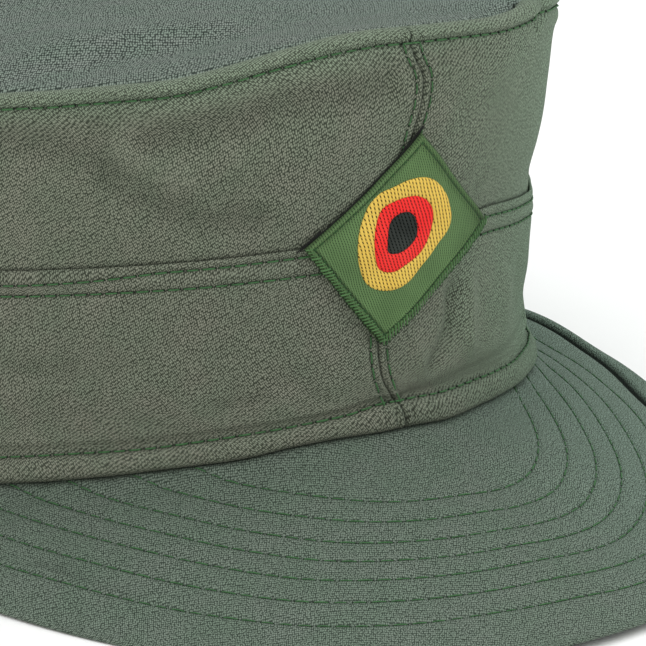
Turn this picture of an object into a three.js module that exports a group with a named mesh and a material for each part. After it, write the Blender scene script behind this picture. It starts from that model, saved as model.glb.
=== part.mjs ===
// Field cap of olive cloth: a two-tier crown with an oval top, a stitched peak and a square badge on its corner.
// Millimetres, +Z up. The front of the cap faces -Y and the wearer's left is +X. The cap rests on z = 0.
import * as THREE from 'three';

// Head opening, measured over the cloth at the base line
const HEAD_HALF_WIDTH = 84.5;
const HEAD_HALF_LENGTH = 102;

// Crown heights above the base line: the lapped seam between the tiers, and the stitch row under the top edge
const SEAM_HEIGHT = 42.4;
const CROWN_HEIGHT = 75.5;

// Cloth, hem and clearances
const CLOTH = 1.2;
const GAP = 0.3;
const HEM_THICKNESS = 2.8;
const HEM_DEPTH = 12;
const HEM_ROLL_HEIGHT = 4.1;
const HEM_ROLL_BULGE = 1.3;

// The lower tier laps over the upper one and is held by two stitch rows below its folded edge
const LAP_DEPTH = 8;
const LAP_ROW_NEAR = 1.9;
const LAP_ROW_FAR = 5.2;

// The upper tier rolls over the top edge down to the crease where the top panel begins
const ROLL_INSET = 5;
const ROLL_RISE = 2;
const TOP_DOME = 3;
const TOP_EDGE_RISE = 0.7;

// Peak
const PEAK_HALF_WIDTH = 96.5;
const PEAK_REACH = 64;
const PEAK_WIDEST_AHEAD = 8.2;
const PEAK_ROUNDNESS = 2.15;
const PEAK_THICKNESS = 3.6;
const PEAK_END_THICKNESS = 2;
const PEAK_FALL = 25.5;
const PEAK_SIDE_FALL = 2.6;
const PEAK_END_SHARE = 0.4;
const PEAK_STEP = 0.9;
const PEAK_MARGIN = 10.2;
const PEAK_GROOVE = 0.6;
const PEAK_GROOVE_WIDTH = 1.8;
const PEAK_LEFT_CURL = 1.5;

// Angles around the crown, in degrees from the front, over which the peak levels out, narrows and ends
const PEAK_LEVEL_FROM = 45;
const PEAK_LEVEL_TO = 90;
const PEAK_TAPER_FROM = 72;
const PEAK_TAPER_TO = 98;
const PEAK_END = 97;
const PEAK_TAPER_POWER = 0.75;

// Share of the peak's thickness that its rim is rounded by
const PEAK_RIM_ROUND = 0.3;

// Badge: a square patch set on its corner over the crossing of the front seam and the lapped seam
const BADGE_HALF_DIAGONAL = 23;
const BADGE_THICKNESS = 1;
const BADGE_FOLD_WIDTH = 2.2;
const BADGE_FOLD_RISE = 0.3;
const ROUNDEL_THICKNESS = 0.6;

// How far the soft rim and peak edge flatten on the surface
const REST_PRESS = 1.6;

// Finishes
const COLOURS = {
  top: 0x65716a,
  upper: 0x606455,
  lower: 0x64695b,
  peak: 0x5d6a5c,
  green: 0x4f6c42,
  gold: 0xc1a046,
  red: 0xd22d30,
  black: 0x272c28,
};

// Crown outline at three heights. wide and long are shares of the head's half width and half length, and round
// is the exponent of the oval. back, nose, saddle and rest are shares of the crown height: the set back of the
// oval, the lift of the front, the lift of front and back over the sides, and the drop of the back onto its rim.
const CROWN_LEVELS = [
  { height: 0, wide: 1, long: 1, round: 1.8, back: 0, nose: 0, saddle: 0.049, rest: 0.026 },
  { height: SEAM_HEIGHT, wide: 1.008, long: 1.034, round: 1.85, back: 0, nose: 0, saddle: 0.021, rest: 0 },
  { height: CROWN_HEIGHT, wide: 1.034, long: 1.082, round: 2, back: -0.034, nose: 0.032, saddle: 0.063, rest: 0 },
];

// The front seam wanders over the crown: its angle in degrees at shares of the crown height
const FRONT_SEAM = [
  { level: 0, angle: 0.6 },
  { level: 0.1, angle: -1.3 },
  { level: 0.25, angle: -2.8 },
  { level: 0.56, angle: 0.3 },
  { level: 0.8, angle: 2.3 },
  { level: 0.9, angle: 3.5 },
  { level: 1, angle: 1 },
];

// Dents and ridges of the crown. angle, spread and lean are degrees around the crown. level, tall and depth are
// shares of the crown height, and depth is inward where negative. lean is the turn per unit of level.
const CROWN_FOLDS = [
  { angle: -37.5, level: 0.79, spread: 4, tall: 0.09, lean: -60, depth: -0.02 },
  { angle: -25, level: 0.66, spread: 9, tall: 0.03, lean: 0, depth: -0.018 },
  { angle: -16, level: 0.89, spread: 14, tall: 0.03, lean: 0, depth: -0.018 },
  { angle: -22, level: 0.8, spread: 8, tall: 0.06, lean: 0, depth: 0.013 },
  { angle: 9.5, level: 0.26, spread: 2.4, tall: 0.1, lean: 10, depth: -0.014 },
  { angle: 15, level: 0.29, spread: 3, tall: 0.09, lean: 0, depth: 0.012 },
  { angle: 47, level: 0.63, spread: 15, tall: 0.07, lean: 0, depth: -0.012 },
  { angle: 50, level: 1, spread: 10, tall: 0.045, lean: 0, depth: 0.008 },
  { angle: 44, level: 0.2, spread: 16, tall: 0.1, lean: 0, depth: -0.016 },
  { angle: -47, level: 0.15, spread: 7, tall: 0.06, lean: 0, depth: -0.012 },
  { angle: 100, level: 0.7, spread: 24, tall: 0.12, lean: 0, depth: -0.02 },
  { angle: -104, level: 0.66, spread: 26, tall: 0.14, lean: 0, depth: -0.02 },
  { angle: 172, level: 0.72, spread: 22, tall: 0.14, lean: 0, depth: -0.024 },
];

// Hollows and swells of the top. across and back are shares of the head's half width and half length from
// its centre, wide and long their reach in the same shares, and lift a share of the crown height.
const TOP_WAVES = [
  { across: -0.45, back: -0.45, wide: 0.35, long: 0.16, lift: 0.022 },
  { across: -0.2, back: -0.62, wide: 0.4, long: 0.12, lift: -0.024 },
  { across: 0.35, back: -0.5, wide: 0.3, long: 0.25, lift: -0.016 },
  { across: 0.1, back: 0.35, wide: 0.5, long: 0.3, lift: -0.022 },
];

// Section of the rolled hem, as shares of the roll's height and bulge
const HEM_ROLL = [
  { up: 0, out: -0.2 },
  { up: 0.14, out: 0.6 },
  { up: 0.5, out: 1 },
  { up: 0.86, out: 0.6 },
  { up: 1.06, out: -0.2 },
  { up: 1.8, out: 0 },
];

// How the upper tier comes out from behind the lap: heights above the seam as shares of the lap's depth, and
// the set back as shares of the step between the tiers
const UPPER_FOOT = [
  { rise: -1, back: 1 },
  { rise: 0, back: 1 },
  { rise: 0.3, back: 0.75 },
  { rise: 0.9, back: 0.15 },
];

// Section of the roll over the top edge, as shares of its inset and rise
const TOP_ROLL = [
  { inset: 0.03, up: 0.45 },
  { inset: 0.16, up: 0.86 },
  { inset: 0.45, up: 1 },
  { inset: 0.75, up: 0.9 },
  { inset: 1, up: 0.55 },
];

// Stations across the peak: shares of the way from the crown to the groove, then shares of the margin past it,
// which takes no more than a given share of the whole reach
const PEAK_INNER_STATIONS = [0, 0.3, 0.65, 0.93];
const PEAK_MARGIN_STATIONS = [0, 0.2, 0.85, 1];
const PEAK_MARGIN_MOST = 0.55;

// Corners of the badge from the crossing of the seams, as shares of its half diagonal
const BADGE_CORNERS = {
  top: { across: 0.126, up: 0.783 },
  left: { across: 1.174, up: -0.052 },
  bottom: { across: -0.191, up: -0.883 },
  right: { across: -0.852, up: 0.017 },
};

// Nested ovals of the roundel, as shares of the badge's half diagonal: centre and half sizes
const ROUNDEL = [
  { name: 'badge_gold_ring', colour: COLOURS.gold, across: 0.087, up: -0.007, wide: 0.48, tall: 0.455 },
  { name: 'badge_red_ring', colour: COLOURS.red, across: 0.048, up: 0.002, wide: 0.305, tall: 0.3 },
  { name: 'badge_black_centre', colour: COLOURS.black, across: 0.02, up: 0.02, wide: 0.152, tall: 0.165 },
];

// Fineness of the meshes
const PANEL_STEPS = 34;
const TOP_STEPS = 64;
const PEAK_STEPS = 44;
const BADGE_STEPS = 8;
const ROUNDEL_STEPS = 28;
const FRONT_CLUSTER = 1.25;
const TOP_RINGS = [1, 0.965, 0.85, 0.66, 0.44, 0.22];
const WALL_STATIONS = [0.25, 0.5, 0.75];
const WAVE_FADE = 3;
const HALVINGS = 40;
const FARTHEST_RAY = 3;
const STEEPEST_TILT = 20;

const SEAM_LEVEL = SEAM_HEIGHT / CROWN_HEIGHT;

// Value of a column at a position, straight between the rows of a table and held past its ends
function tableValue(rows, column, key, at) {
  if (at <= rows[0][key]) return rows[0][column];
  for (let i = 1; i < rows.length; i += 1) {
    const low = rows[i - 1];
    const high = rows[i];
    if (at <= high[key]) {
      const share = (at - low[key]) / (high[key] - low[key]);
      return THREE.MathUtils.lerp(low[column], high[column], share);
    }
  }
  return rows[rows.length - 1][column];
}

// Crown outline at a share of the crown height, on the parabola through the three measured levels
function levelAt(level) {
  const height = level * CROWN_HEIGHT;
  const shape = { wide: 0, long: 0, round: 0, back: 0, nose: 0, saddle: 0, rest: 0 };
  CROWN_LEVELS.forEach((row, i) => {
    let weight = 1;
    CROWN_LEVELS.forEach((other, j) => {
      if (i !== j) weight *= (height - other.height) / (row.height - other.height);
    });
    for (const column of Object.keys(shape)) shape[column] += weight * row[column];
  });
  return {
    halfWidth: shape.wide * HEAD_HALF_WIDTH,
    halfLength: shape.long * HEAD_HALF_LENGTH,
    round: shape.round,
    back: shape.back * CROWN_HEIGHT,
    height,
    nose: shape.nose * CROWN_HEIGHT,
    saddle: shape.saddle * CROWN_HEIGHT,
    rest: shape.rest * CROWN_HEIGHT,
  };
}

// Smooth hill of height 1 that fades with the distance from its middle, given in spreads
function hill(a, b) {
  return Math.exp(-(a * a + b * b));
}

// Dents and ridges of the crown at an angle and level, in millimetres outward
function foldDepth(angle, level) {
  const degrees = THREE.MathUtils.radToDeg(angle);
  let depth = 0;
  for (const fold of CROWN_FOLDS) {
    const middle = fold.angle + fold.lean * (fold.level - level);
    const away = THREE.MathUtils.euclideanModulo(degrees - middle + 180, 360) - 180;
    depth += fold.depth * CROWN_HEIGHT * hill(away / fold.spread, (level - fold.level) / fold.tall);
  }
  return depth;
}

// Point of the crown at an angle from the front, positive to the wearer's left: level is the share of the crown
// height that sets the outline, out the distance outward from it and up the distance above it.
function crownPoint(angle, level, out, up = 0) {
  const ring = levelAt(level);
  const side = Math.sin(angle);
  const front = Math.cos(angle);
  const reach = (Math.abs(side) ** ring.round + Math.abs(front) ** ring.round) ** (-1 / ring.round);
  const x = ring.halfWidth * side * reach;
  const y = -ring.halfLength * front * reach;
  const slopeX = Math.sign(side) * Math.abs(side * reach) ** (ring.round - 1) / ring.halfWidth;
  const slopeY = -Math.sign(front) * Math.abs(front * reach) ** (ring.round - 1) / ring.halfLength;
  const length = Math.hypot(slopeX, slopeY);
  const rest = front < 0 ? ring.rest * front * front : 0;
  const z = ring.height + ring.nose * front + ring.saddle * Math.cos(2 * angle) - rest;
  const away = out + foldDepth(angle, level);
  return new THREE.Vector3(x + (away * slopeX) / length, y + ring.back + (away * slopeY) / length, z + up);
}

// Angle of the front seam at a share of the crown height
function frontSeamAngle(level) {
  return THREE.MathUtils.degToRad(tableValue(FRONT_SEAM, 'angle', 'level', level));
}

// Collects points and faces of one closed piece
class Skin {
  constructor() {
    this.points = [];
    this.faces = [];
  }

  grid(rows) {
    return rows.map((row) => row.map((point) => this.points.push(point) - 1));
  }

  quad(a, b, c, d) {
    this.faces.push([a, b, c], [a, c, d]);
  }

  patch(ids, closed = false) {
    const last = closed ? ids.length : ids.length - 1;
    for (let i = 0; i < last; i += 1) {
      const here = ids[i];
      const next = ids[(i + 1) % ids.length];
      for (let j = 0; j + 1 < here.length; j += 1) this.quad(here[j], next[j], next[j + 1], here[j + 1]);
    }
  }

  fan(ids, middle, flip) {
    ids.forEach((id, i) => {
      const next = ids[(i + 1) % ids.length];
      this.faces.push(flip ? [next, id, middle] : [id, next, middle]);
    });
  }

  volume() {
    return this.faces.reduce((sum, [a, b, c]) => {
      const cross = this.points[b].clone().cross(this.points[c]);
      return sum + this.points[a].dot(cross) / 6;
    }, 0);
  }

  geometry(place) {
    const turned = this.volume() < 0 ? this.faces.map(([a, b, c]) => [a, c, b]) : this.faces;
    const geometry = new THREE.BufferGeometry().setFromPoints(this.points.map(place));
    geometry.setIndex(turned.flat());
    geometry.computeVertexNormals();
    return geometry;
  }
}

// Closed sheet of cloth between two grids of points with the same rows and columns
function sheet(outside, inside) {
  const skin = new Skin();
  const front = skin.grid(outside);
  const back = skin.grid(inside);
  const lastRow = front.length - 1;
  const lastColumn = front[0].length - 1;
  skin.patch(front);
  skin.patch(back.map((row) => row.slice().reverse()));
  skin.patch(front.map((row, i) => [back[i][0], row[0]]));
  skin.patch(front.map((row, i) => [row[lastColumn], back[i][lastColumn]]));
  skin.patch([back[0], front[0]]);
  skin.patch([front[lastRow], back[lastRow]]);
  return skin;
}

// Closed disk between two sets of rings that run from the rim to the middle
function disk(outside, inside, outsideMiddle, insideMiddle) {
  const skin = new Skin();
  const front = skin.grid(outside);
  const back = skin.grid(inside);
  const [frontMiddle, backMiddle] = skin.grid([[outsideMiddle, insideMiddle]])[0];
  const turn = (rings) => rings[0].map((_, i) => rings.map((ring) => ring[i]));
  const last = front.length - 1;
  skin.patch(turn(front), true);
  skin.patch(turn(back).map((row) => row.slice().reverse()), true);
  skin.patch(turn([back[0], front[0]]), true);
  skin.fan(front[last], frontMiddle, false);
  skin.fan(back[last], backMiddle, true);
  return skin;
}

// Closed ring with a four-sided section, from four loops of points
function band(loops) {
  const skin = new Skin();
  const ids = skin.grid(loops);
  const stations = ids[0].map((_, i) => [ids[0][i], ids[1][i], ids[2][i], ids[3][i], ids[0][i]]);
  skin.patch(stations, true);
  return skin;
}

// Rows of a crown panel: side is 1 for the wearer's left and -1 for the right, and each entry of the section
// gives the height that sets the outline, the distance out from it and the distance up.
function panelGrid(side, section) {
  return Array.from({ length: PANEL_STEPS + 1 }, (_, i) => {
    const share = (i / PANEL_STEPS) ** FRONT_CLUSTER;
    return section.map(({ height, out, up = 0 }) => {
      const level = height / CROWN_HEIGHT;
      const clear = GAP / 2 / HEAD_HALF_WIDTH;
      const first = frontSeamAngle(level) + side * clear;
      const last = side * (Math.PI - clear);
      return crownPoint(THREE.MathUtils.lerp(first, last, share), level, out, up);
    });
  });
}

// Lower tier: rolled hem at the base, plain wall, and the folded edge that laps over the upper tier
function lowerPanel(side) {
  const roll = HEM_ROLL.map(({ up, out }) => ({ height: up * HEM_ROLL_HEIGHT, out: out * HEM_ROLL_BULGE }));
  const wallFrom = roll[roll.length - 1].height;
  const wallTo = SEAM_HEIGHT - LAP_ROW_FAR;
  const wall = WALL_STATIONS.map((share) => ({ height: THREE.MathUtils.lerp(wallFrom, wallTo, share), out: 0 }));
  const lap = [LAP_ROW_FAR, LAP_ROW_NEAR, 0].map((below) => ({ height: SEAM_HEIGHT - below, out: 0 }));
  const outside = [...roll, ...wall, ...lap];
  const inside = outside.map(({ height }) => ({ height, out: height < HEM_DEPTH ? -HEM_THICKNESS : -CLOTH }));
  return sheet(panelGrid(side, outside), panelGrid(side, inside));
}

// Upper tier: from behind the lap, up the wall and over the top edge to the crease
function upperPanel(side) {
  const step = CLOTH + GAP;
  const foot = UPPER_FOOT.map(({ rise, back }) => ({ height: SEAM_HEIGHT + rise * LAP_DEPTH, out: -back * step }));
  const wallFrom = foot[foot.length - 1].height;
  const wall = [...WALL_STATIONS, 1].map((share) => {
    return { height: THREE.MathUtils.lerp(wallFrom, CROWN_HEIGHT, share), out: 0 };
  });
  const wallSection = [...foot, ...wall];
  const rollOutside = TOP_ROLL.map(({ inset, up }) => ({
    height: CROWN_HEIGHT,
    out: -inset * ROLL_INSET,
    up: up * ROLL_RISE,
  }));
  const rollInside = TOP_ROLL.map(({ inset, up }) => ({
    height: CROWN_HEIGHT,
    out: -inset * ROLL_INSET - CLOTH * Math.cos((inset * Math.PI) / 2),
    up: up * ROLL_RISE - CLOTH * Math.sin((inset * Math.PI) / 2),
  }));
  const outside = [...wallSection, ...rollOutside];
  const inside = [...wallSection.map(({ height, out }) => ({ height, out: out - CLOTH })), ...rollInside];
  return sheet(panelGrid(side, outside), panelGrid(side, inside));
}

// Height of the swells and hollows of the top at a place
function waveHeight(x, y) {
  return TOP_WAVES.reduce((sum, wave) => {
    const a = (x / HEAD_HALF_WIDTH - wave.across) / wave.wide;
    const b = (y / HEAD_HALF_LENGTH - wave.back) / wave.long;
    return sum + wave.lift * CROWN_HEIGHT * hill(a, b);
  }, 0);
}

// Oval top panel: set inside the rolled edge, domed and softly dented
function topPanel() {
  const creaseUp = TOP_ROLL[TOP_ROLL.length - 1].up * ROLL_RISE;
  const rim = Array.from({ length: TOP_STEPS }, (_, i) => {
    return crownPoint((i / TOP_STEPS) * 2 * Math.PI, 1, -(ROLL_INSET + GAP), creaseUp);
  });
  const middle = rim.reduce((sum, point) => sum.add(point), new THREE.Vector3()).divideScalar(rim.length);
  const surface = (share, point, drop) => {
    const x = THREE.MathUtils.lerp(middle.x, point.x, share);
    const y = THREE.MathUtils.lerp(middle.y, point.y, share);
    const inner = 1 - share * share;
    const swell = TOP_DOME * inner + waveHeight(x, y) * Math.min(1, inner * WAVE_FADE);
    const edge = share < 1 ? TOP_EDGE_RISE : 0;
    const z = THREE.MathUtils.lerp(middle.z, point.z, share * share) + swell + edge - drop;
    return new THREE.Vector3(x, y, z);
  };
  const rings = (drop) => TOP_RINGS.map((share) => rim.map((point) => surface(share, point, drop)));
  return disk(rings(0), rings(CLOTH), surface(0, middle, 0), surface(0, middle, CLOTH));
}

// Share of its full reach and curl that the peak keeps at an angle near its ends
function peakTaper(angle) {
  const degrees = Math.abs(THREE.MathUtils.radToDeg(angle));
  const past = (degrees - PEAK_TAPER_FROM) / (PEAK_TAPER_TO - PEAK_TAPER_FROM);
  return (1 - THREE.MathUtils.clamp(past, 0, 1) ** 2) ** PEAK_TAPER_POWER;
}

// Distance from the base line to the peak's outline along the ray at an angle, narrowed toward the peak's ends
function peakReach(angle) {
  const base = crownPoint(angle, 0, 0);
  const outlineLength = HEAD_HALF_LENGTH + PEAK_REACH - PEAK_WIDEST_AHEAD;
  let near = 1;
  let far = FARTHEST_RAY;
  for (let i = 0; i < HALVINGS; i += 1) {
    const factor = (near + far) / 2;
    const across = Math.abs(factor * base.x) / PEAK_HALF_WIDTH;
    const ahead = Math.max(0, -factor * base.y - PEAK_WIDEST_AHEAD) / outlineLength;
    if (across ** PEAK_ROUNDNESS + ahead ** PEAK_ROUNDNESS < 1) near = factor;
    else far = factor;
  }
  return (near - 1) * Math.hypot(base.x, base.y) * peakTaper(angle);
}

// Height of the peak's upper face at a place on a ray, whose distance from the base line is given with the reach
// of that ray. The slope eases toward the ends, and the margin past the groove curls up on the wearer's left.
function peakHeight(place, angle, distance, reach) {
  const base = crownPoint(angle, 0, 0).z;
  const degrees = THREE.MathUtils.radToDeg(angle);
  const outward = Math.max(distance, 0) / PEAK_REACH;
  const across = place.x / PEAK_HALF_WIDTH;
  const eased = THREE.MathUtils.smoothstep(Math.abs(degrees), PEAK_LEVEL_FROM, PEAK_LEVEL_TO);
  const slope = (PEAK_FALL + PEAK_SIDE_FALL * across * across) * THREE.MathUtils.lerp(1, PEAK_END_SHARE, eased);
  const step = PEAK_STEP * THREE.MathUtils.smoothstep(distance, 0, HEM_ROLL_HEIGHT);
  const fromEdge = reach - distance;
  const groove = PEAK_GROOVE * hill((fromEdge - PEAK_MARGIN) / PEAK_GROOVE_WIDTH, 0);
  const past = THREE.MathUtils.clamp(1 - fromEdge / PEAK_MARGIN, 0, 1);
  const left = THREE.MathUtils.smoothstep(degrees, 0, PEAK_LEVEL_FROM) * peakTaper(angle);
  const clear = THREE.MathUtils.clamp(distance / PEAK_MARGIN, 0, 1);
  return base - GAP - step - slope * outward - groove + PEAK_LEFT_CURL * past * left * clear;
}

// Peak: one stitched plate from inside the hem to its rounded edge, thinner where its ends are sewn in
function peak() {
  const rows = (below) => Array.from({ length: PEAK_STEPS + 1 }, (_, i) => {
    const degrees = THREE.MathUtils.lerp(-PEAK_END, PEAK_END, i / PEAK_STEPS);
    const angle = THREE.MathUtils.degToRad(degrees);
    const ended = THREE.MathUtils.smoothstep(Math.abs(degrees), PEAK_TAPER_FROM, PEAK_END);
    const thickness = THREE.MathUtils.lerp(PEAK_THICKNESS, PEAK_END_THICKNESS, ended);
    const edgeRound = thickness * PEAK_RIM_ROUND;
    const base = crownPoint(angle, 0, 0);
    const ray = new THREE.Vector3(base.x, base.y, 0).normalize();
    const reach = peakReach(angle);
    const margin = Math.min(PEAK_MARGIN, reach * PEAK_MARGIN_MOST);
    const stations = [
      -HEM_THICKNESS,
      ...PEAK_INNER_STATIONS.map((share) => share * (reach - margin)),
      ...PEAK_MARGIN_STATIONS.map((share) => reach - margin + share * margin),
    ];
    return stations.map((distance, j) => {
      const place = new THREE.Vector3(base.x, base.y, 0).addScaledVector(ray, distance);
      const isEdge = j === stations.length - 1;
      const rounded = isEdge ? edgeRound : 0;
      place.z = peakHeight(place, angle, distance, reach) - (below ? thickness - rounded : rounded);
      return place;
    });
  });
  return sheet(rows(false), rows(true));
}

// Point over the front of the crown, across and up from the crossing of the seams and out from the cloth
function badgePoint(across, up, out) {
  const level = SEAM_LEVEL + up / CROWN_HEIGHT;
  const ring = levelAt(level);
  const share = across / ring.halfWidth;
  const ahead = (1 - Math.abs(share) ** ring.round) ** (1 / ring.round);
  return crownPoint(Math.atan2(share, ahead), level, out);
}

// Green ground of the badge, with its edges folded under
function badgeGround() {
  const { top, left, bottom, right } = BADGE_CORNERS;
  const fold = BADGE_FOLD_WIDTH / (BADGE_HALF_DIAGONAL * Math.SQRT2);
  const inner = Array.from({ length: BADGE_STEPS + 1 }, (_, i) => {
    return THREE.MathUtils.lerp(fold, 1 - fold, i / BADGE_STEPS);
  });
  const shares = [0, ...inner, 1];
  const rows = (out, rim) => shares.map((s, i) => shares.map((t, j) => {
    const isRim = i === 0 || j === 0 || i === shares.length - 1 || j === shares.length - 1;
    const across = THREE.MathUtils.lerp(
      THREE.MathUtils.lerp(top.across, left.across, s),
      THREE.MathUtils.lerp(right.across, bottom.across, s),
      t,
    );
    const up = THREE.MathUtils.lerp(
      THREE.MathUtils.lerp(top.up, left.up, s),
      THREE.MathUtils.lerp(right.up, bottom.up, s),
      t,
    );
    return badgePoint(across * BADGE_HALF_DIAGONAL, up * BADGE_HALF_DIAGONAL, out + (isRim ? rim : 0));
  }));
  return sheet(rows(GAP + BADGE_THICKNESS, BADGE_FOLD_RISE), rows(GAP, 0));
}

// One loop of a roundel oval, drawn in or out by a clearance
function ovalLoop({ across, up, wide, tall }, clearance, out) {
  return Array.from({ length: ROUNDEL_STEPS }, (_, i) => {
    const turn = (i / ROUNDEL_STEPS) * 2 * Math.PI;
    const x = across * BADGE_HALF_DIAGONAL + (wide * BADGE_HALF_DIAGONAL + clearance) * Math.cos(turn);
    const z = up * BADGE_HALF_DIAGONAL + (tall * BADGE_HALF_DIAGONAL + clearance) * Math.sin(turn);
    return badgePoint(x, z, out);
  });
}

// Woven ovals of the roundel, one inside the other on the green ground
function roundelPiece(index) {
  const low = GAP + BADGE_THICKNESS + GAP;
  const high = low + ROUNDEL_THICKNESS;
  const oval = ROUNDEL[index];
  if (index + 1 < ROUNDEL.length) {
    const hole = ROUNDEL[index + 1];
    return band([
      ovalLoop(oval, 0, high),
      ovalLoop(hole, GAP, high),
      ovalLoop(hole, GAP, low),
      ovalLoop(oval, 0, low),
    ]);
  }
  const middle = (out) => badgePoint(oval.across * BADGE_HALF_DIAGONAL, oval.up * BADGE_HALF_DIAGONAL, out);
  return disk([ovalLoop(oval, 0, high)], [ovalLoop(oval, 0, low)], middle(high), middle(low));
}

const PIECES = [
  { name: 'crown_top', colour: COLOURS.top, skin: topPanel() },
  { name: 'upper_panel_left', colour: COLOURS.upper, skin: upperPanel(1) },
  { name: 'upper_panel_right', colour: COLOURS.upper, skin: upperPanel(-1) },
  { name: 'lower_panel_left', colour: COLOURS.lower, skin: lowerPanel(1) },
  { name: 'lower_panel_right', colour: COLOURS.lower, skin: lowerPanel(-1) },
  { name: 'peak', colour: COLOURS.peak, skin: peak() },
  { name: 'badge_ground', colour: COLOURS.green, skin: badgeGround() },
  ...ROUNDEL.map(({ name, colour }, index) => ({ name, colour, skin: roundelPiece(index) })),
];

// Height of a place once the cap is tipped back by an angle
function tippedHeight(point, tilt) {
  return point.z * Math.cos(tilt) - point.y * Math.sin(tilt);
}

// Lowest height of the points well ahead of the head's centre, or well behind it, at a tilt
function lowest(points, ahead, tilt) {
  const far = HEAD_HALF_LENGTH / 2;
  const side = points.filter((point) => (ahead ? point.y < -far : point.y > far));
  return Math.min(...side.map((point) => tippedHeight(point, tilt)));
}

// Tilt at which the peak's edge and the back of the rim touch one level surface
function restTilt(points) {
  let low = 0;
  let high = THREE.MathUtils.degToRad(STEEPEST_TILT);
  for (let i = 0; i < HALVINGS; i += 1) {
    const tilt = (low + high) / 2;
    if (lowest(points, true, tilt) < lowest(points, false, tilt)) low = tilt;
    else high = tilt;
  }
  return (low + high) / 2;
}

const ALL_POINTS = PIECES.flatMap(({ skin }) => skin.points);
const TILT = restTilt(ALL_POINTS);
const FLOOR = Math.min(...ALL_POINTS.map((point) => tippedHeight(point, TILT))) + REST_PRESS;
const TIPPED_Y = ALL_POINTS.map((point) => point.y * Math.cos(TILT) + point.z * Math.sin(TILT));
const MIDDLE_Y = (Math.min(...TIPPED_Y) + Math.max(...TIPPED_Y)) / 2;

// Place of a point in the resting cap: tipped, set over the origin and flattened where it meets the surface
function rest(point) {
  const y = point.y * Math.cos(TILT) + point.z * Math.sin(TILT) - MIDDLE_Y;
  return new THREE.Vector3(point.x, y, Math.max(0, tippedHeight(point, TILT) - FLOOR));
}

const cap = new THREE.Group();
for (const { name, colour, skin } of PIECES) {
  const material = new THREE.MeshStandardMaterial({ color: colour, roughness: 0.92, metalness: 0 });
  const mesh = new THREE.Mesh(skin.geometry(rest), material);
  mesh.name = name;
  cap.add(mesh);
}

export default cap;
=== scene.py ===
"""Field cap of olive cloth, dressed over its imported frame.

It has cloth tiers, seams, stitching, a stitched peak and a woven badge.
Angles are in radians and lengths in millimetres, where nothing else is said.
"""

import logging
import math
from collections.abc import Callable
from dataclasses import dataclass, field
from enum import Enum

import bmesh
import bpy
import numpy as np
from mathutils import Matrix, Vector

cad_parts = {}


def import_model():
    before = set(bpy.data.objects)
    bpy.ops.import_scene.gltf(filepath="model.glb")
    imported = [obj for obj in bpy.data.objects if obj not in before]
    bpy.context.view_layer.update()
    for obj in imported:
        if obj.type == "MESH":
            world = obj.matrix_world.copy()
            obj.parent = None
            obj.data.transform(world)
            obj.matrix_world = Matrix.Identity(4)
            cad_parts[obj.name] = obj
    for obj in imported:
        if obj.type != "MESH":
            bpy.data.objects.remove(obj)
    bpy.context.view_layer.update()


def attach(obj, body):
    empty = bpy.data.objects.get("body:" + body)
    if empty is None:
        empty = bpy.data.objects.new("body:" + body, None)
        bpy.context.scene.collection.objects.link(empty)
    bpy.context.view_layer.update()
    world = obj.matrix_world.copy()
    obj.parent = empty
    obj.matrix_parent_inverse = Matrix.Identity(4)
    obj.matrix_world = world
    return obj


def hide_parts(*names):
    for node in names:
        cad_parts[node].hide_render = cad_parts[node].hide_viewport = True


LOG = logging.getLogger("field_cap")
MM = 0.001
BODY = "root"
WEAVE_MAP = "weave"
SHADE = "shade"
STITCH_END = "stitch_end"
AWAY = "away"

SHARP_FOLD = math.radians(58)
TOUCHING = 1e-7

Array = np.ndarray
Colour = tuple[float, float, float, float]
Socket = bpy.types.NodeSocket


class Side(Enum):
    """Half of the crown, by the wearer's side."""

    LEFT = 1
    RIGHT = -1

    @property
    def label(self) -> str:
        """Name of the half as the frame's nodes spell it."""
        return self.name.lower()


class Grain(Enum):
    """Kind of weave that a woven finish shows."""

    CREPE = "crepe"
    RIBBON = "ribbon"


def smoothstep(low: float, high: float, at: Array) -> Array:
    """Smooth rise from 0 at low to 1 at high.

    Args:
        low: Position where the rise starts.
        high: Position where it ends.
        at: Positions asked for.

    Returns:
        The share risen at each position.
    """
    share = np.clip((np.asarray(at, float) - low) / (high - low), 0, 1)
    return share * share * (3 - 2 * share)


def hill(away: Array, off: Array | float = 0.0) -> Array:
    """Smooth hill of height 1 over distances given in spreads."""
    return np.exp(-(np.square(away) + np.square(off)))


def through(positions: list[float], values: list[float], at: Array) -> Array:
    """Smooth curve through a short table, held past its ends.

    Args:
        positions: Rising positions of the table.
        values: Value at each position.
        at: Positions asked for.

    Returns:
        The curve's value at each position asked for.
    """
    xs, ys = np.asarray(positions, float), np.asarray(values, float)
    slopes = np.gradient(ys, xs)
    slopes[0] = slopes[-1] = 0
    at = np.clip(np.asarray(at, float), xs[0], xs[-1])
    i = np.clip(np.searchsorted(xs, at) - 1, 0, len(xs) - 2)
    width = xs[i + 1] - xs[i]
    t = (at - xs[i]) / width
    start = (1 + 2 * t) * (1 - t) ** 2 * ys[i] + t * (1 - t) ** 2 * width * slopes[i]
    end = t * t * (3 - 2 * t) * ys[i + 1] + t * t * (t - 1) * width * slopes[i + 1]
    return start + end


def stations(*spans: tuple[float, float, float]) -> Array:
    """Positions along a line, finer in some spans than in others.

    Args:
        *spans: Start, end and step of each span, in order.

    Returns:
        The rising positions, each given once.
    """
    parts = [np.linspace(low, high, max(2, math.ceil((high - low) / step) + 1)) for low, high, step in spans]
    return np.unique(np.round(np.concatenate(parts), 6))


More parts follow.
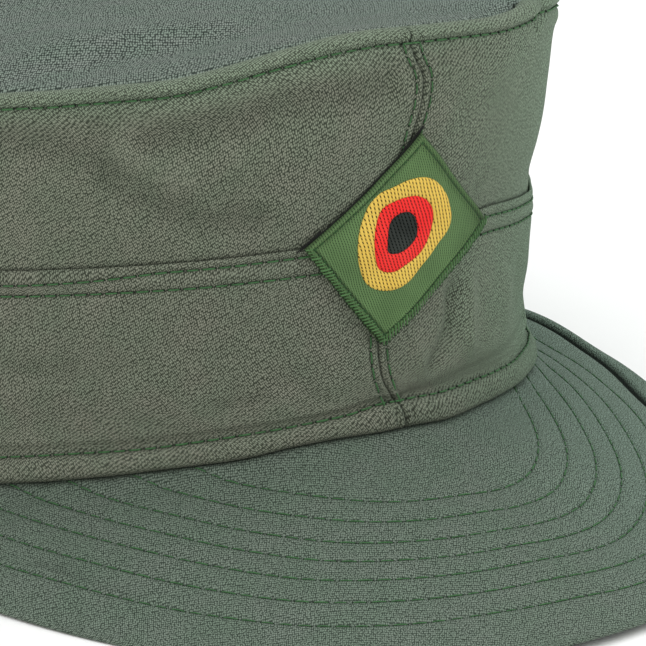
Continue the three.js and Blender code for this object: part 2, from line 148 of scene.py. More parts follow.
@dataclass(frozen=True)
class Unevenness:
    """Slow waves of worn cloth, as a sum of sine waves in fixed random directions.

    Attributes:
        seed: Seed of the directions and phases.
        shortest: Shortest wave, in millimetres.
        longest: Longest wave, in millimetres.
        height: Height of the strongest wave, in millimetres.
        waves: Number of waves.
    """

    seed: int
    shortest: float
    longest: float
    height: float
    waves: int = 14

    def at(self, across: Array, along: Array) -> Array:
        """Height of the waves at places on the cloth.

        Args:
            across: First coordinate of the places, in millimetres.
            along: Second coordinate, in millimetres.

        Returns:
            The height at each place, in millimetres.
        """
        chance = np.random.default_rng(self.seed)
        total = np.zeros(np.broadcast(across, along).shape)
        for _ in range(self.waves):
            length = self.shortest * (self.longest / self.shortest) ** chance.random()
            turn, phase = chance.random(2) * 2 * math.pi
            share = length / self.longest / math.sqrt(self.waves) * 1.6
            total += self.height * share * np.sin(
                2 * math.pi * (across * math.cos(turn) + along * math.sin(turn)) / length + phase
            )
        return total


@dataclass(frozen=True)
class CrownLevel:
    """Outline of the crown at one height, as shares of the head's sizes and of the crown height."""

    height: float
    wide: float
    long: float
    round: float
    back: float = 0.0
    nose: float = 0.0
    saddle: float = 0.0
    rest: float = 0.0


@dataclass(frozen=True)
class Fold:
    """Dent or ridge of the crown's cloth.

    Attributes:
        angle: Degrees from the front, positive to the wearer's left.
        level: Height of its middle as a share of the crown height.
        spread: Half width in degrees.
        tall: Half height as a share of the crown height.
        depth: Millimetres outward, inward where negative.
        lean: Degrees that it turns per unit of level.
    """

    angle: float
    level: float
    spread: float
    tall: float
    depth: float
    lean: float = 0.0


@dataclass(frozen=True)
class Crease:
    """Narrow valley or ridge of the crown's cloth along a bent line.

    Attributes:
        path: Degrees from the front and share of the crown height of each place on the line.
        width: Half width of its slopes, in millimetres.
        depth: Millimetres outward, inward where negative.
    """

    path: tuple[tuple[float, float], ...]
    width: float
    depth: float

    AROUND = 1.62
    TALL = 75.5

    def lift(self, degrees: Array, level: Array) -> Array:
        """Depth of the crease at places of the crown.

        Args:
            degrees: Degrees from the front.
            level: Share of the crown height.

        Returns:
            The depth at each place.
        """
        across, up = np.broadcast_arrays(degrees * self.AROUND, level * self.TALL)
        line = np.array(self.path) * [self.AROUND, self.TALL]
        nearest = np.full(across.shape, np.inf)
        for first, last in zip(line, line[1:]):
            run = last - first
            share = np.clip(((across - first[0]) * run[0] + (up - first[1]) * run[1]) / (run @ run), 0, 1)
            away = np.hypot(across - first[0] - share * run[0], up - first[1] - share * run[1])
            nearest = np.minimum(nearest, away)
        return self.depth * hill(nearest / self.width)


@dataclass(frozen=True)
class Swell:
    """Hollow or swell of the top panel, in shares of the head's half sizes, with its lift in millimetres."""

    across: float
    back: float
    wide: float
    long: float
    lift: float


CROWN_LEVELS = (
    CrownLevel(0, 1, 1, 1.8, saddle=0.049, rest=0.026),
    CrownLevel(42.4, 1.008, 1.034, 1.85, saddle=0.021),
    CrownLevel(75.5, 1.034, 1.082, 2, back=-0.034, nose=0.032, saddle=0.063),
)
FOLDS = (
    Fold(-22, 0.8, 8, 0.06, 1.0),
    Fold(47, 0.63, 15, 0.07, -1.1),
    Fold(57, 0.955, 9, 0.04, 1.4),
    Fold(62, 0.585, 9, 0.03, 0.8),
    Fold(44, 0.2, 16, 0.1, -1.2),
    Fold(27, 0.3, 4, 0.08, 0.7),
    Fold(-47, 0.15, 7, 0.06, -0.9),
    Fold(-36.7, 0.285, 3, 0.03, -0.6),
    Fold(-15.7, 0.2, 2.2, 0.03, -0.6),
    Fold(-11.5, 0.15, 2, 0.025, -0.5),
    Fold(100, 0.7, 24, 0.12, -1.5),
    Fold(-104, 0.66, 26, 0.14, -1.5),
    Fold(172, 0.72, 22, 0.14, -1.8),
)
CREASES = (
    Crease(
        ((-54, 0.92), (-44.7, 0.89), (-39.5, 0.845), (-37.5, 0.795), (-33, 0.725), (-26, 0.65), (-19, 0.645)),
        2.9, -1.6,
    ),
    Crease(((-39, 0.93), (-38.2, 0.87), (-38, 0.8)), 1.8, -0.7),
    Crease(((-33, 0.885), (-25, 0.888), (-18, 0.9), (-6, 0.893), (-2, 0.9)), 2.4, -1.5),
    Crease(((-33, 0.95), (-20.9, 0.958), (-6.3, 0.958)), 2.4, 0.8),
    Crease(((-36.5, 0.86), (-34, 0.825), (-29, 0.77)), 3.2, 1.1),
    Crease(((-54, 0.3), (-49.7, 0.29), (-44, 0.285)), 2.6, -0.8),
    Crease(((-25, 0.155), (-19, 0.165)), 2.0, -0.6),
    Crease(((10.9, 0.36), (10.4, 0.26), (6.4, 0.165)), 2.0, -1.5),
    Crease(((14.8, 0.38), (14.6, 0.2)), 2.6, 1.0),
    Crease(((3.4, 0.26), (4.3, 0.18)), 1.8, 0.6),
    Crease(((2, 0.085), (22, 0.1), (48, 0.125)), 2.2, -1.0),
    Crease(((29.5, 0.975), (33, 1.0), (36.5, 1.04)), 1.5, -1.5),
)
# Tables of degrees from the front and millimetres.
EDGE_WAVE = (
    (-70, 0.3), (-60, 0.8), (-50, 0.9), (-44, 0.1), (-38, -0.4), (-29.5, -1.1), (-24, -0.5), (-16, 0.8),
    (-9, 1.6), (-4.5, 1.5), (1, 0.9), (8, 0.3), (18, -0.4), (24, -0.1), (32, 1.1), (40, 1.2), (55, 0.3),
    (70, 0),
)
ROW_DRIFT = (
    (-97, 0), (-70, -0.3), (-50, -0.4), (-35, -0.3), (-20, 0.1), (-8, 1.0), (0, 0.2), (5, -1.4), (11, -2.7),
    (16, -2.6), (22, -1.9), (30, -1.0), (36, -0.9), (45, -1.9), (51, -2.6), (62, -4.4), (80, -4.6), (97, -2),
)
SEAM_WAVE = (
    (-100, 0), (-60, 0.9), (-40, 0.7), (-20, 0.5), (0, 0.2), (15, 0), (20, -0.2), (28, -1.4), (38, -2.9),
    (47, -4.2), (60, -4.0), (80, -1.5), (100, 0),
)
HEM_WAVE = (
    (-60, 0), (-30, 0), (-22, 0.1), (-16, 0.9), (-9, 1.1), (-3, 0.7), (2, 0.6), (8, -0.2), (16, -0.2),
    (30, 0), (60, 0),
)
# Tables of millimetres from the front seam and millimetres of rise.
HEM_ROW_RISE = (
    (-110, 0.5), (-70, 0.8), (-50, 0.5), (-35, 0.9), (-20, 0.8), (-10, 1.3), (-4, 2.3), (3, 2.1), (12, 1.8),
    (22, 1.6), (40, 1.2), (80, 0.8), (110, 0.5),
)
LAP_ROW_RISE = (
    (-120, -0.5), (-80, -1.1), (-60, -0.6), (-48, 0.2), (-35, 0.3), (-12, 0.4), (0, 0.2), (20, 0), (120, 0),
)
SWELLS = (
    Swell(-0.45, -0.45, 0.35, 0.16, 1.66),
    Swell(-0.2, -0.62, 0.4, 0.12, -1.8),
    Swell(0.35, -0.5, 0.3, 0.25, -1.2),
    Swell(0.1, 0.35, 0.5, 0.3, -1.66),
)


@dataclass(frozen=True)
class CapForm:
    """Bare shape of the cap as its frame has it, in millimetres, and the way it rests.

    Attributes:
        half_width: Half width of the head opening over the cloth.
        half_length: Half length of the head opening.
        seam_height: Height of the lapped seam between the tiers.
        crown_height: Height of the stitch row under the top edge.
        cloth: Thickness of the cloth.
        gap: Clearance between touching pieces.
        tilt: Degrees that the cap is tipped back at rest.
        floor: Height that the resting cap is lowered by.
        middle: Distance that the resting cap is moved back by.
    """

    half_width: float = 84.5
    half_length: float = 102.0
    seam_height: float = 42.4
    crown_height: float = 75.5
    cloth: float = 1.2
    gap: float = 0.3
    tilt: float = 6.3158808385651355
    floor: float = -7.8663854687027595
    middle: float = -26.061502036042313

    def outline(self, level: Array) -> dict[str, Array]:
        """Sizes of the crown's oval at a share of the crown height.

        Args:
            level: Share of the crown height.

        Returns:
            The sizes and the height, by name.
        """
        height = np.asarray(level, float) * self.crown_height
        sizes = {name: 0.0 for name in ("wide", "long", "round", "back", "nose", "saddle", "rest")}
        for row in CROWN_LEVELS:
            weight = 1.0
            for other in CROWN_LEVELS:
                if other is not row:
                    weight = weight * (height - other.height) / (row.height - other.height)
            for name in sizes:
                sizes[name] = sizes[name] + weight * getattr(row, name)
        return sizes | {"height": height}

    def fold_depth(self, angle: Array, level: Array, smooth: bool) -> Array:
        """Depth of the dents and ridges at places of the crown, in millimetres outward.

        Args:
            angle: Angle from the front.
            level: Share of the crown height.
            smooth: Whether the narrow creases are left out.

        Returns:
            The depth at each place.
        """
        degrees = np.degrees(angle)
        depth = np.zeros(np.broadcast(angle, level).shape)
        for fold in FOLDS:
            middle = fold.angle + fold.lean * (fold.level - level)
            away = np.mod(degrees - middle + 180, 360) - 180
            depth = depth + fold.depth * hill(away / fold.spread, (level - fold.level) / fold.tall)
        turned = np.mod(degrees + 180, 360) - 180
        return depth if smooth else depth + self.crease_depth(turned, level)

    @staticmethod
    def crease_depth(degrees: Array, level: Array) -> Array:
        """Depth of the narrow creases alone, at degrees from the front and levels."""
        return sum(crease.lift(degrees, level) for crease in CREASES)

    def hem_rise(self, angle: Array) -> Array:
        """Rise and fall of the hem round the crown, in millimetres."""
        return through(*zip(*HEM_WAVE), np.mod(np.degrees(angle) + 180, 360) - 180)

    def sag(self, angle: Array, level: Array) -> Array:
        """Rise and fall of the top edge, the lapped seam and the hem round the crown, in millimetres.

        Args:
            angle: Angle from the front.
            level: Share of the crown height.

        Returns:
            The rise at each place.
        """
        degrees = np.mod(np.degrees(angle) + 180, 360) - 180
        edge = through(*zip(*EDGE_WAVE), degrees) * smoothstep(0.78, 1, level)
        seam = through(*zip(*SEAM_WAVE), degrees) * smoothstep(0.1, 0.5, level)
        seam = seam * (1 - smoothstep(0.62, 0.95, level))
        return edge + seam + self.hem_rise(angle) * (1 - smoothstep(0, 0.12, level))

    def point(
        self, angle: Array, level: Array, out: Array = 0.0, up: Array = 0.0, smooth: bool = False,
    ) -> Array:
        """Points of the crown.

        Args:
            angle: Angle from the front in radians, positive to the wearer's left.
            level: Share of the crown height that sets the outline.
            out: Distance outward from the outline.
            up: Distance above it.
            smooth: Whether the narrow creases are left out.

        Returns:
            The points, with their coordinates in the last axis.
        """
        angle, level, out, up = np.broadcast_arrays(angle, level, out, up)
        ring = self.outline(level)
        place, slope = self._oval(angle, ring)
        front = np.cos(angle)
        rest = np.where(front < 0, ring["rest"] * front * front, 0)
        lift = ring["nose"] * front + ring["saddle"] * np.cos(2 * angle) - rest
        away = (out + self.fold_depth(angle, level, smooth))[..., None]
        flat = place + away * slope
        height = ring["height"] + lift * self.crown_height + self.sag(angle, level) + up
        return np.concatenate([flat, height[..., None]], axis=-1)

    def outward(self, angle: Array, level: Array) -> Array:
        """Level unit directions that point away from the crown.

        Args:
            angle: Angle from the front.
            level: Share of the crown height.

        Returns:
            The directions, in the last axis.
        """
        angle, level = np.broadcast_arrays(angle, level)
        slope = self._oval(angle, self.outline(level))[1]
        return np.concatenate([slope, np.zeros((*slope.shape[:-1], 1))], axis=-1)

    def _oval(self, angle: Array, ring: dict[str, Array]) -> tuple[Array, Array]:
        """Place on an oval ring and the direction away from it, both without height.

        Args:
            angle: Angle from the front.
            ring: Sizes of the oval.

        Returns:
            The places and the directions.
        """
        wide, long, power = ring["wide"] * self.half_width, ring["long"] * self.half_length, ring["round"]
        side, front = np.sin(angle), np.cos(angle)
        reach = (np.abs(side) ** power + np.abs(front) ** power) ** (-1 / power)
        back = ring["back"] * self.crown_height - long * front * reach
        place = np.stack([wide * side * reach, back], axis=-1)
        slope_x = np.sign(side) * np.abs(side * reach) ** (power - 1) / wide
        slope_y = -np.sign(front) * np.abs(front * reach) ** (power - 1) / long
        slope = np.stack([slope_x, slope_y], axis=-1)
        return place, slope / np.linalg.norm(slope, axis=-1, keepdims=True)

    def turned(self, directions: Array) -> Array:
        """Directions of the upright cap as they lie in the resting one.

        Args:
            directions: Directions of the upright cap.

        Returns:
            The same directions at rest.
        """
        tip = math.radians(self.tilt)
        x, y, z = np.moveaxis(np.asarray(directions, float), -1, 0)
        back = y * math.cos(tip) + z * math.sin(tip)
        up = z * math.cos(tip) - y * math.sin(tip)
        return np.stack([x, back, up], axis=-1)

    def rested(self, points: Array) -> Array:
        """Points of the upright cap in millimetres as places of the resting cap in metres.

        Args:
            points: Points of the upright cap.

        Returns:
            The places at rest.
        """
        moved = self.turned(points) - np.array([0, self.middle, self.floor])
        moved[..., 2] = np.maximum(moved[..., 2], 0)
        return moved * MM


@dataclass
class Skin:
    """Closed piece of cloth between rows of points that each run round its section.

    Attributes:
        rows: Points in millimetres of the upright cap, by row and place along the section.
        weave: Weave coordinates in millimetres, with one place more than the points.
        shade: Painted shade, below 0, or painted light, above 0, on the cloth at each point.
        ring: Whether the last row meets the first.
    """

    rows: Array
    weave: Array
    shade: Array
    ring: bool = False

    def faces(self) -> tuple[Array, Array]:
        """Four-sided faces over the rows, and the weave coordinates of their corners.

        Returns:
            The faces and the weave coordinates.
        """
        count, around = self.rows.shape[:2]
        last = count if self.ring else count - 1
        i, j = np.meshgrid(np.arange(last), np.arange(around), indexing="ij")
        here, there = i * around, ((i + 1) % count) * around
        after = (j + 1) % around
        quads = np.stack([here + j, there + j, there + after, here + after], axis=-1).reshape(-1, 4)
        follow = (i + 1) if not self.ring else np.minimum(i + 1, self.weave.shape[0] - 1)
        corners = [self.weave[i, j], self.weave[follow, j], self.weave[follow, j + 1], self.weave[i, j + 1]]
        return quads, np.stack(corners, axis=2).reshape(-1, 4, 2)

    def mesh(self, name: str, form: CapForm) -> bpy.types.Mesh:
        """Makes the piece's mesh in its resting place.

        Args:
            name: Name of the mesh.
            form: Cap form that gives the resting place.

        Returns:
            The mesh, with its weave map and shade.
        """
        quads, corners = self.faces()
        points = form.rested(self.rows).reshape(-1, 3)
        a, b, c, d = (points[quads[:, k]] for k in range(4))
        volume = np.einsum("ij,ij->", a, np.cross(b, c)) + np.einsum("ij,ij->", a, np.cross(c, d))
        around = self.rows.shape[1]
        end = np.arange(around)
        ends = [] if self.ring else [end, end[::-1] + (len(self.rows) - 1) * around]
        if volume < 0:
            quads, corners = quads[:, ::-1], corners[:, ::-1]
            ends = [end[::-1] for end in ends]
        mesh = bpy.data.meshes.new(name)
        mesh.from_pydata(points.tolist(), [], quads.tolist() + [end.tolist() for end in ends])
        flat = corners.reshape(-1, 2)
        end_weave = [self.weave.reshape(-1, 2)[:1]] * sum(len(end) for end in ends)
        everywhere = np.concatenate([flat, *end_weave]) if ends else flat
        layer = mesh.uv_layers.new(name=WEAVE_MAP)
        layer.data.foreach_set("uv", (everywhere * MM).astype(np.float32).ravel())
        shade = mesh.attributes.new(SHADE, "FLOAT", "POINT")
        shade.data.foreach_set("value", self.shade.astype(np.float32).ravel())
        self._close_poles(mesh)
        mesh.shade_smooth()
        mesh.set_sharp_from_angle(angle=SHARP_FOLD)
        return mesh

    @staticmethod
    def _close_poles(mesh: bpy.types.Mesh) -> None:
        """Merges points that fall together and drops what is left loose.

        Args:
            mesh: Mesh to mend.
        """
        work = bmesh.new()
        work.from_mesh(mesh)
        bmesh.ops.remove_doubles(work, verts=work.verts, dist=TOUCHING)
        loose = [edge for edge in work.edges if not edge.link_faces]
        bmesh.ops.delete(work, geom=loose, context="EDGES")
        work.to_mesh(mesh)
        work.free()


def shown(name: str, mesh: bpy.types.Mesh, finish: bpy.types.Material) -> bpy.types.Object:
    """Puts a mesh into the scene as one finished piece that rides on the cap.

    Args:
        name: Name of the piece.
        mesh: Its mesh, in its resting place.
        finish: Material of the whole piece.

    Returns:
        The new object.
    """
    mesh.materials.clear()
    mesh.materials.append(finish)
    piece = bpy.data.objects.new(name, mesh)
    bpy.context.scene.collection.objects.link(piece)
    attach(piece, BODY)
    LOG.info("%s: %d faces", name, len(mesh.polygons))
    return piece


def rgb(red: float, green: float, blue: float) -> Colour:
    """Linear colour of a display colour given from 0 to 255.

    Args:
        red: Red channel.
        green: Green channel.
        blue: Blue channel.

    Returns:
        The linear colour.
    """
    parts = [channel / 255 for channel in (red, green, blue)]
    linear = [part / 12.92 if part <= 0.04045 else ((part + 0.055) / 1.055) ** 2.4 for part in parts]
    return (*linear, 1.0)


class Nodes:
    """Short hand for building one material's node tree."""

    def __init__(self, name: str) -> None:
        """Starts an empty material with a shader and an output.

        Args:
            name: Name of the material.
        """
        self.material = bpy.data.materials.new(name)
        self.material.use_nodes = True
        self.tree = self.material.node_tree
        self.tree.nodes.clear()
        self.shader = self.add("ShaderNodeBsdfPrincipled")
        output = self.add("ShaderNodeOutputMaterial")
        self.link(self.shader.outputs["BSDF"], output.inputs["Surface"])

    def add(self, kind: str, **settings: object) -> bpy.types.Node:
        """Adds a node of a kind and sets its properties.

        Args:
            kind: Kind of node.
            **settings: Its properties.

        Returns:
            The node.
        """
        node = self.tree.nodes.new(kind)
        for name, value in settings.items():
            setattr(node, name, value)
        return node

    def link(self, source: Socket, target: Socket) -> None:
        """Joins two sockets."""
        self.tree.links.new(source, target)

    def feed(self, target: Socket, value: object) -> None:
        """Joins a socket, or sets a plain value.

        Args:
            target: Socket that takes the value.
            value: Socket or plain value.
        """
        if isinstance(value, Socket):
            self.link(value, target)
        else:
            target.default_value = value

    def math(self, operation: str, first: object, second: object = 0.0, third: object = 0.0) -> Socket:
        """Adds a sum on one to three values and gives its result.

        Args:
            operation: Kind of sum.
            first: First value.
            second: Second value.
            third: Third value.

        Returns:
            The result.
        """
        node = self.add("ShaderNodeMath", operation=operation)
        for socket, value in zip(node.inputs, (first, second, third)):
            self.feed(socket, value)
        return node.outputs[0]

    def blend(self, share: object, low: object, high: object) -> Socket:
        """Blends two colours by a share and gives the colour.

        Args:
            share: Share of the second colour.
            low: First colour.
            high: Second colour.

        Returns:
            The blended colour.
        """
        node = self.add("ShaderNodeMix", data_type="RGBA")
        self.feed(node.inputs[0], share)
        self.feed(node.inputs[6], low)
        self.feed(node.inputs[7], high)
        return node.outputs[2]

    def ranged(self, value: object, low: float, high: float, start: float, end: float) -> Socket:
        """Carries a value from one range to another, held at its ends.

        Args:
            value: Value to carry.
            low: Start of its range.
            high: End of its range.
            start: Start of the new range.
            end: End of the new range.

        Returns:
            The carried value.
        """
        node = self.add("ShaderNodeMapRange")
        for index, number in enumerate((value, low, high, start, end)):
            self.feed(node.inputs[index], number)
        return node.outputs[0]

    def noise(self, place: Socket, scale: float, detail: float = 2.0) -> Socket:
        """Adds soft noise at a place and gives its strength.

        Args:
            place: Place of the pattern.
            scale: Fineness of the noise.
            detail: Number of finer layers.

        Returns:
            The strength, from 0 to 1.
        """
        node = self.add("ShaderNodeTexNoise")
        self.link(place, node.inputs["Vector"])
        node.inputs["Scale"].default_value = scale
        node.inputs["Detail"].default_value = detail
        return node.outputs["Fac"]

    def placed(self, place: Socket, size: tuple[float, float], turn: float) -> Socket:
        """Counts a place in units of a size, along axes turned by degrees.

        Args:
            place: Place of the pattern.
            size: Size of one unit.
            turn: Degrees of the turn.

        Returns:
            The place in units.
        """
        node = self.add("ShaderNodeMapping", vector_type="TEXTURE")
        self.link(place, node.inputs["Vector"])
        node.inputs["Rotation"].default_value = (0, 0, math.radians(turn))
        node.inputs["Scale"].default_value = (*size, 1)
        return node.outputs[0]

    def drawn(self, place: Socket, scale: float, distance: float) -> Socket:
        """Draws a place out of true by soft noise of a scale, up to a distance.

        Args:
            place: Place of the pattern.
            scale: Fineness of the noise.
            distance: Furthest pull.

        Returns:
            The pulled place.
        """
        drift = self.add("ShaderNodeTexNoise")
        self.link(place, drift.inputs["Vector"])
        drift.inputs["Scale"].default_value = scale
        drift.inputs["Detail"].default_value = 1
        pulled = self.add("ShaderNodeVectorMath", operation="MULTIPLY_ADD")
        self.link(drift.outputs["Color"], pulled.inputs[0])
        pulled.inputs[1].default_value = (distance, distance, 0)
        self.link(place, pulled.inputs[2])
        return pulled.outputs[0]


@dataclass(frozen=True)
class ClothFinish:
    """Woven finish on the weave map of a piece.

    Attributes:
        name: Name of the material.
        thread: Colour of the threads that catch the light.
        hollow: Colour of the gaps between them.
        worn: Colour of the threads where the cloth is rubbed or faded.
        fresh: Second colour of the threads, blended in toward the wearer's left.
        cell: Width and height of one grain of the weave, in millimetres.
        turn: Degrees that the grains lean.
        chaos: How much the grains leave their grid, from 0 to 1.
        relief: Height of the grains, in millimetres.
        grain: Kind of weave.
        sheen: Strength of the soft light at grazing angles.
        gloss: Strength of the threads' reflection.
        fresh_above: Distance up the cloth where it turns halfway to its second colour, in millimetres of the
            weave.
    """

    name: str
    thread: Colour
    hollow: Colour
    worn: Colour
    fresh: Colour
    cell: tuple[float, float] = (0.36, 0.58)
    turn: float = 28.0
    chaos: float = 0.45
    relief: float = 0.08
    grain: Grain = Grain.CREPE
    sheen: float = 0.03
    gloss: float = 0.22
    fresh_above: float = 1000.0

    FRESH_FROM = 0.004
    FRESH_TO = 0.055
    # Share of the gap colour left in the deepest painted shade.
    DEEP = 0.16

    def material(self) -> bpy.types.Material:
        """Builds the material: grains, fibres, fading, painted shade in seams, rows and creases, painted
        light on ridges and a soft sheen.

        Returns:
            The material.
        """
        nodes = Nodes(self.name)
        chart = nodes.add("ShaderNodeUVMap", uv_map=WEAVE_MAP).outputs["UV"]
        flat = nodes.placed(chart, (MM, MM), 0)
        place = nodes.drawn(nodes.drawn(flat, 0.03, 5.0), 0.45, 0.3)
        height = self._grains(nodes, place)
        fibre = nodes.noise(nodes.placed(place, (0.11, 0.4), self.turn), 1.0, 2.0)
        height = nodes.math("MULTIPLY_ADD", nodes.ranged(fibre, 0.3, 0.7, -0.5, 0.5), 0.25, height)
        fading = nodes.ranged(nodes.noise(flat, 0.11, 3.0), 0.36, 0.66, 0, 1)
        lit = nodes.blend(fading, self.thread, self.worn)
        side = nodes.add("ShaderNodeSeparateXYZ")
        nodes.link(nodes.add("ShaderNodeTexCoord").outputs["Object"], side.inputs[0])
        high = nodes.add("ShaderNodeSeparateXYZ")
        nodes.link(flat, high.inputs[0])
        share = nodes.math("MAXIMUM", nodes.ranged(side.outputs["X"], self.FRESH_FROM, self.FRESH_TO, 0, 1),
                           nodes.ranged(high.outputs["Y"], self.fresh_above, self.fresh_above + 4, 0, 0.5))
        lit = nodes.blend(share, lit, self.fresh)
        colour = nodes.blend(nodes.ranged(height, 0.12, 0.85, 0, 1), self.hollow, lit)
        # The shade attribute paints light and shade: above 0 it blends toward the thread colour as painted
        # light, below 0 toward a dim copy of the gap colour as painted shade.
        shade = nodes.add("ShaderNodeAttribute", attribute_name=SHADE).outputs["Fac"]
        colour = nodes.blend(nodes.ranged(shade, 0, 1, 0, 0.85), colour, self.thread)
        deep = tuple(channel * self.DEEP for channel in self.hollow[:3]) + (1,)
        colour = nodes.blend(nodes.ranged(shade, 0, -1, 0, 0.9), colour, deep)
        self._dress(nodes, colour, height)
        return nodes.material

    def _grains(self, nodes: Nodes, place: Socket) -> Socket:
        """Height of the weave's grains, from 0 in the gaps to 1 on the threads.

        Args:
            nodes: Tree to add to.
            place: Place of the pattern.

        Returns:
            The height.
        """
        if self.grain is Grain.RIBBON:
            return self._slits(nodes, place)
        cells = nodes.add("ShaderNodeTexVoronoi", feature="F1", voronoi_dimensions="2D")
        nodes.link(nodes.placed(place, self.cell, self.turn), cells.inputs["Vector"])
        cells.inputs["Scale"].default_value = 1.0
        cells.inputs["Randomness"].default_value = self.chaos
        bright = nodes.math("MULTIPLY", cells.outputs["Color"], 0.25)
        return nodes.math("ADD", nodes.ranged(cells.outputs["Distance"], 0.08, 0.55, 0.8, 0), bright)

    def _slits(self, nodes: Nodes, place: Socket) -> Socket:
        """Height of a woven ribbon: rows of thread with short leaning slits, set over from row to row.

        Args:
            nodes: Tree to add to.
            place: Place of the pattern.

        Returns:
            The height.
        """
        parts = nodes.add("ShaderNodeSeparateXYZ")
        nodes.link(nodes.placed(place, self.cell, self.turn), parts.inputs[0])
        row = nodes.math("FLOOR", parts.outputs["Y"])
        inside = nodes.math("SUBTRACT", parts.outputs["Y"], row)
        leaning = nodes.math("MULTIPLY_ADD", inside, 0.6, parts.outputs["X"])
        beside = nodes.math("PINGPONG", nodes.math("MULTIPLY_ADD", row, 0.5, leaning), 0.5)
        above = nodes.math("ABSOLUTE", nodes.math("SUBTRACT", inside, 0.5))
        slit = nodes.math(
            "MAXIMUM", nodes.ranged(beside, 0.07, 0.22, 0, 1), nodes.ranged(above, 0.18, 0.36, 0, 1),
        )
        round_thread = nodes.ranged(beside, 0.15, 0.5, 0.8, 1)
        thread = nodes.math("MULTIPLY", slit, round_thread)
        return nodes.math("MULTIPLY", thread, nodes.ranged(above, 0.3, 0.5, 1, 0.8))

    def _dress(self, nodes: Nodes, colour: Socket, height: Socket) -> None:
        """Sets the shader: colour, roughness, relief and sheen.

        Args:
            nodes: Tree to add to.
            colour: Colour of the cloth.
            height: Height of the weave.
        """
        shader = nodes.shader
        nodes.link(colour, shader.inputs["Base Color"])
        nodes.link(nodes.ranged(height, 0, 1, 0.97, 0.84), shader.inputs["Roughness"])
        shader.inputs["Specular IOR Level"].default_value = self.gloss
        shader.inputs["Sheen Weight"].default_value = self.sheen
        shader.inputs["Sheen Roughness"].default_value = 0.45
        shader.inputs["Sheen Tint"].default_value = rgb(214, 226, 212)
        bump = nodes.add("ShaderNodeBump")
        bump.inputs["Strength"].default_value = 0.8
        bump.inputs["Distance"].default_value = self.relief * MM
        nodes.link(height, bump.inputs["Height"])
        nodes.link(bump.outputs["Normal"], shader.inputs["Normal"])


@dataclass(frozen=True)
class ThreadFinish:
    """Twisted sewing thread, with painted shade where it enters the cloth.

    Attributes:
        name: Name of the material.
        colour: Colour of the thread.
        pit: Dark colour of the thread's twist and uneven dye, and painted shade in the needle holes.
    """

    name: str
    colour: Colour
    pit: Colour

    def material(self) -> bpy.types.Material:
        """Builds the material: ply twist, uneven dye and painted shade at the ends.

        Returns:
            The material.
        """
        nodes = Nodes(self.name)
        place = nodes.add("ShaderNodeTexCoord").outputs["Object"]
        ply = nodes.noise(place, 5200, 1.0)
        dye = nodes.noise(place, 420, 2.0)
        colour = nodes.blend(nodes.ranged(ply, 0.35, 0.65, 0.25, 0), self.colour, self.pit)
        colour = nodes.blend(nodes.ranged(dye, 0.4, 0.7, 0, 0.3), colour, self.pit)
        # Painted shade at the stitch ends, where the thread goes down into its needle hole.
        end = nodes.add("ShaderNodeAttribute", attribute_name=STITCH_END).outputs["Fac"]
        colour = nodes.blend(nodes.ranged(end, 0.25, 0.75, 0, 1), colour, self.pit)
        nodes.link(colour, nodes.shader.inputs["Base Color"])
        nodes.link(nodes.ranged(ply, 0.3, 0.7, 0.9, 0.72), nodes.shader.inputs["Roughness"])
        nodes.shader.inputs["Specular IOR Level"].default_value = 0.3
        bump = nodes.add("ShaderNodeBump")
        bump.inputs["Strength"].default_value = 0.6
        bump.inputs["Distance"].default_value = 0.05 * MM
        nodes.link(ply, bump.inputs["Height"])
        nodes.link(bump.outputs["Normal"], nodes.shader.inputs["Normal"])
        return nodes.material


@dataclass(frozen=True)
class FloorFinish:
    """Pale paper floor with a very faint tooth."""

    name: str = "pale_paper"
    colour: Colour = (1.0, 0.985, 0.97, 1)

    def material(self) -> bpy.types.Material:
        """Builds the floor's material.

        Returns:
            The material.
        """
        nodes = Nodes(self.name)
        place = nodes.add("ShaderNodeTexCoord").outputs["Object"]
        tooth = nodes.noise(place, 60, 2.0)
        nodes.link(nodes.blend(nodes.ranged(tooth, 0.3, 0.7, 0, 0.05), self.colour, (0.8, 0.8, 0.8, 1)),
                   nodes.shader.inputs["Base Color"])
        nodes.shader.inputs["Roughness"].default_value = 0.9
        nodes.shader.inputs["Specular IOR Level"].default_value = 0.1
        return nodes.material


@dataclass(frozen=True)
class Row:
    """One line of sewing: its points and the directions away from the cloth, for the upright cap."""

    points: Array
    away: Array


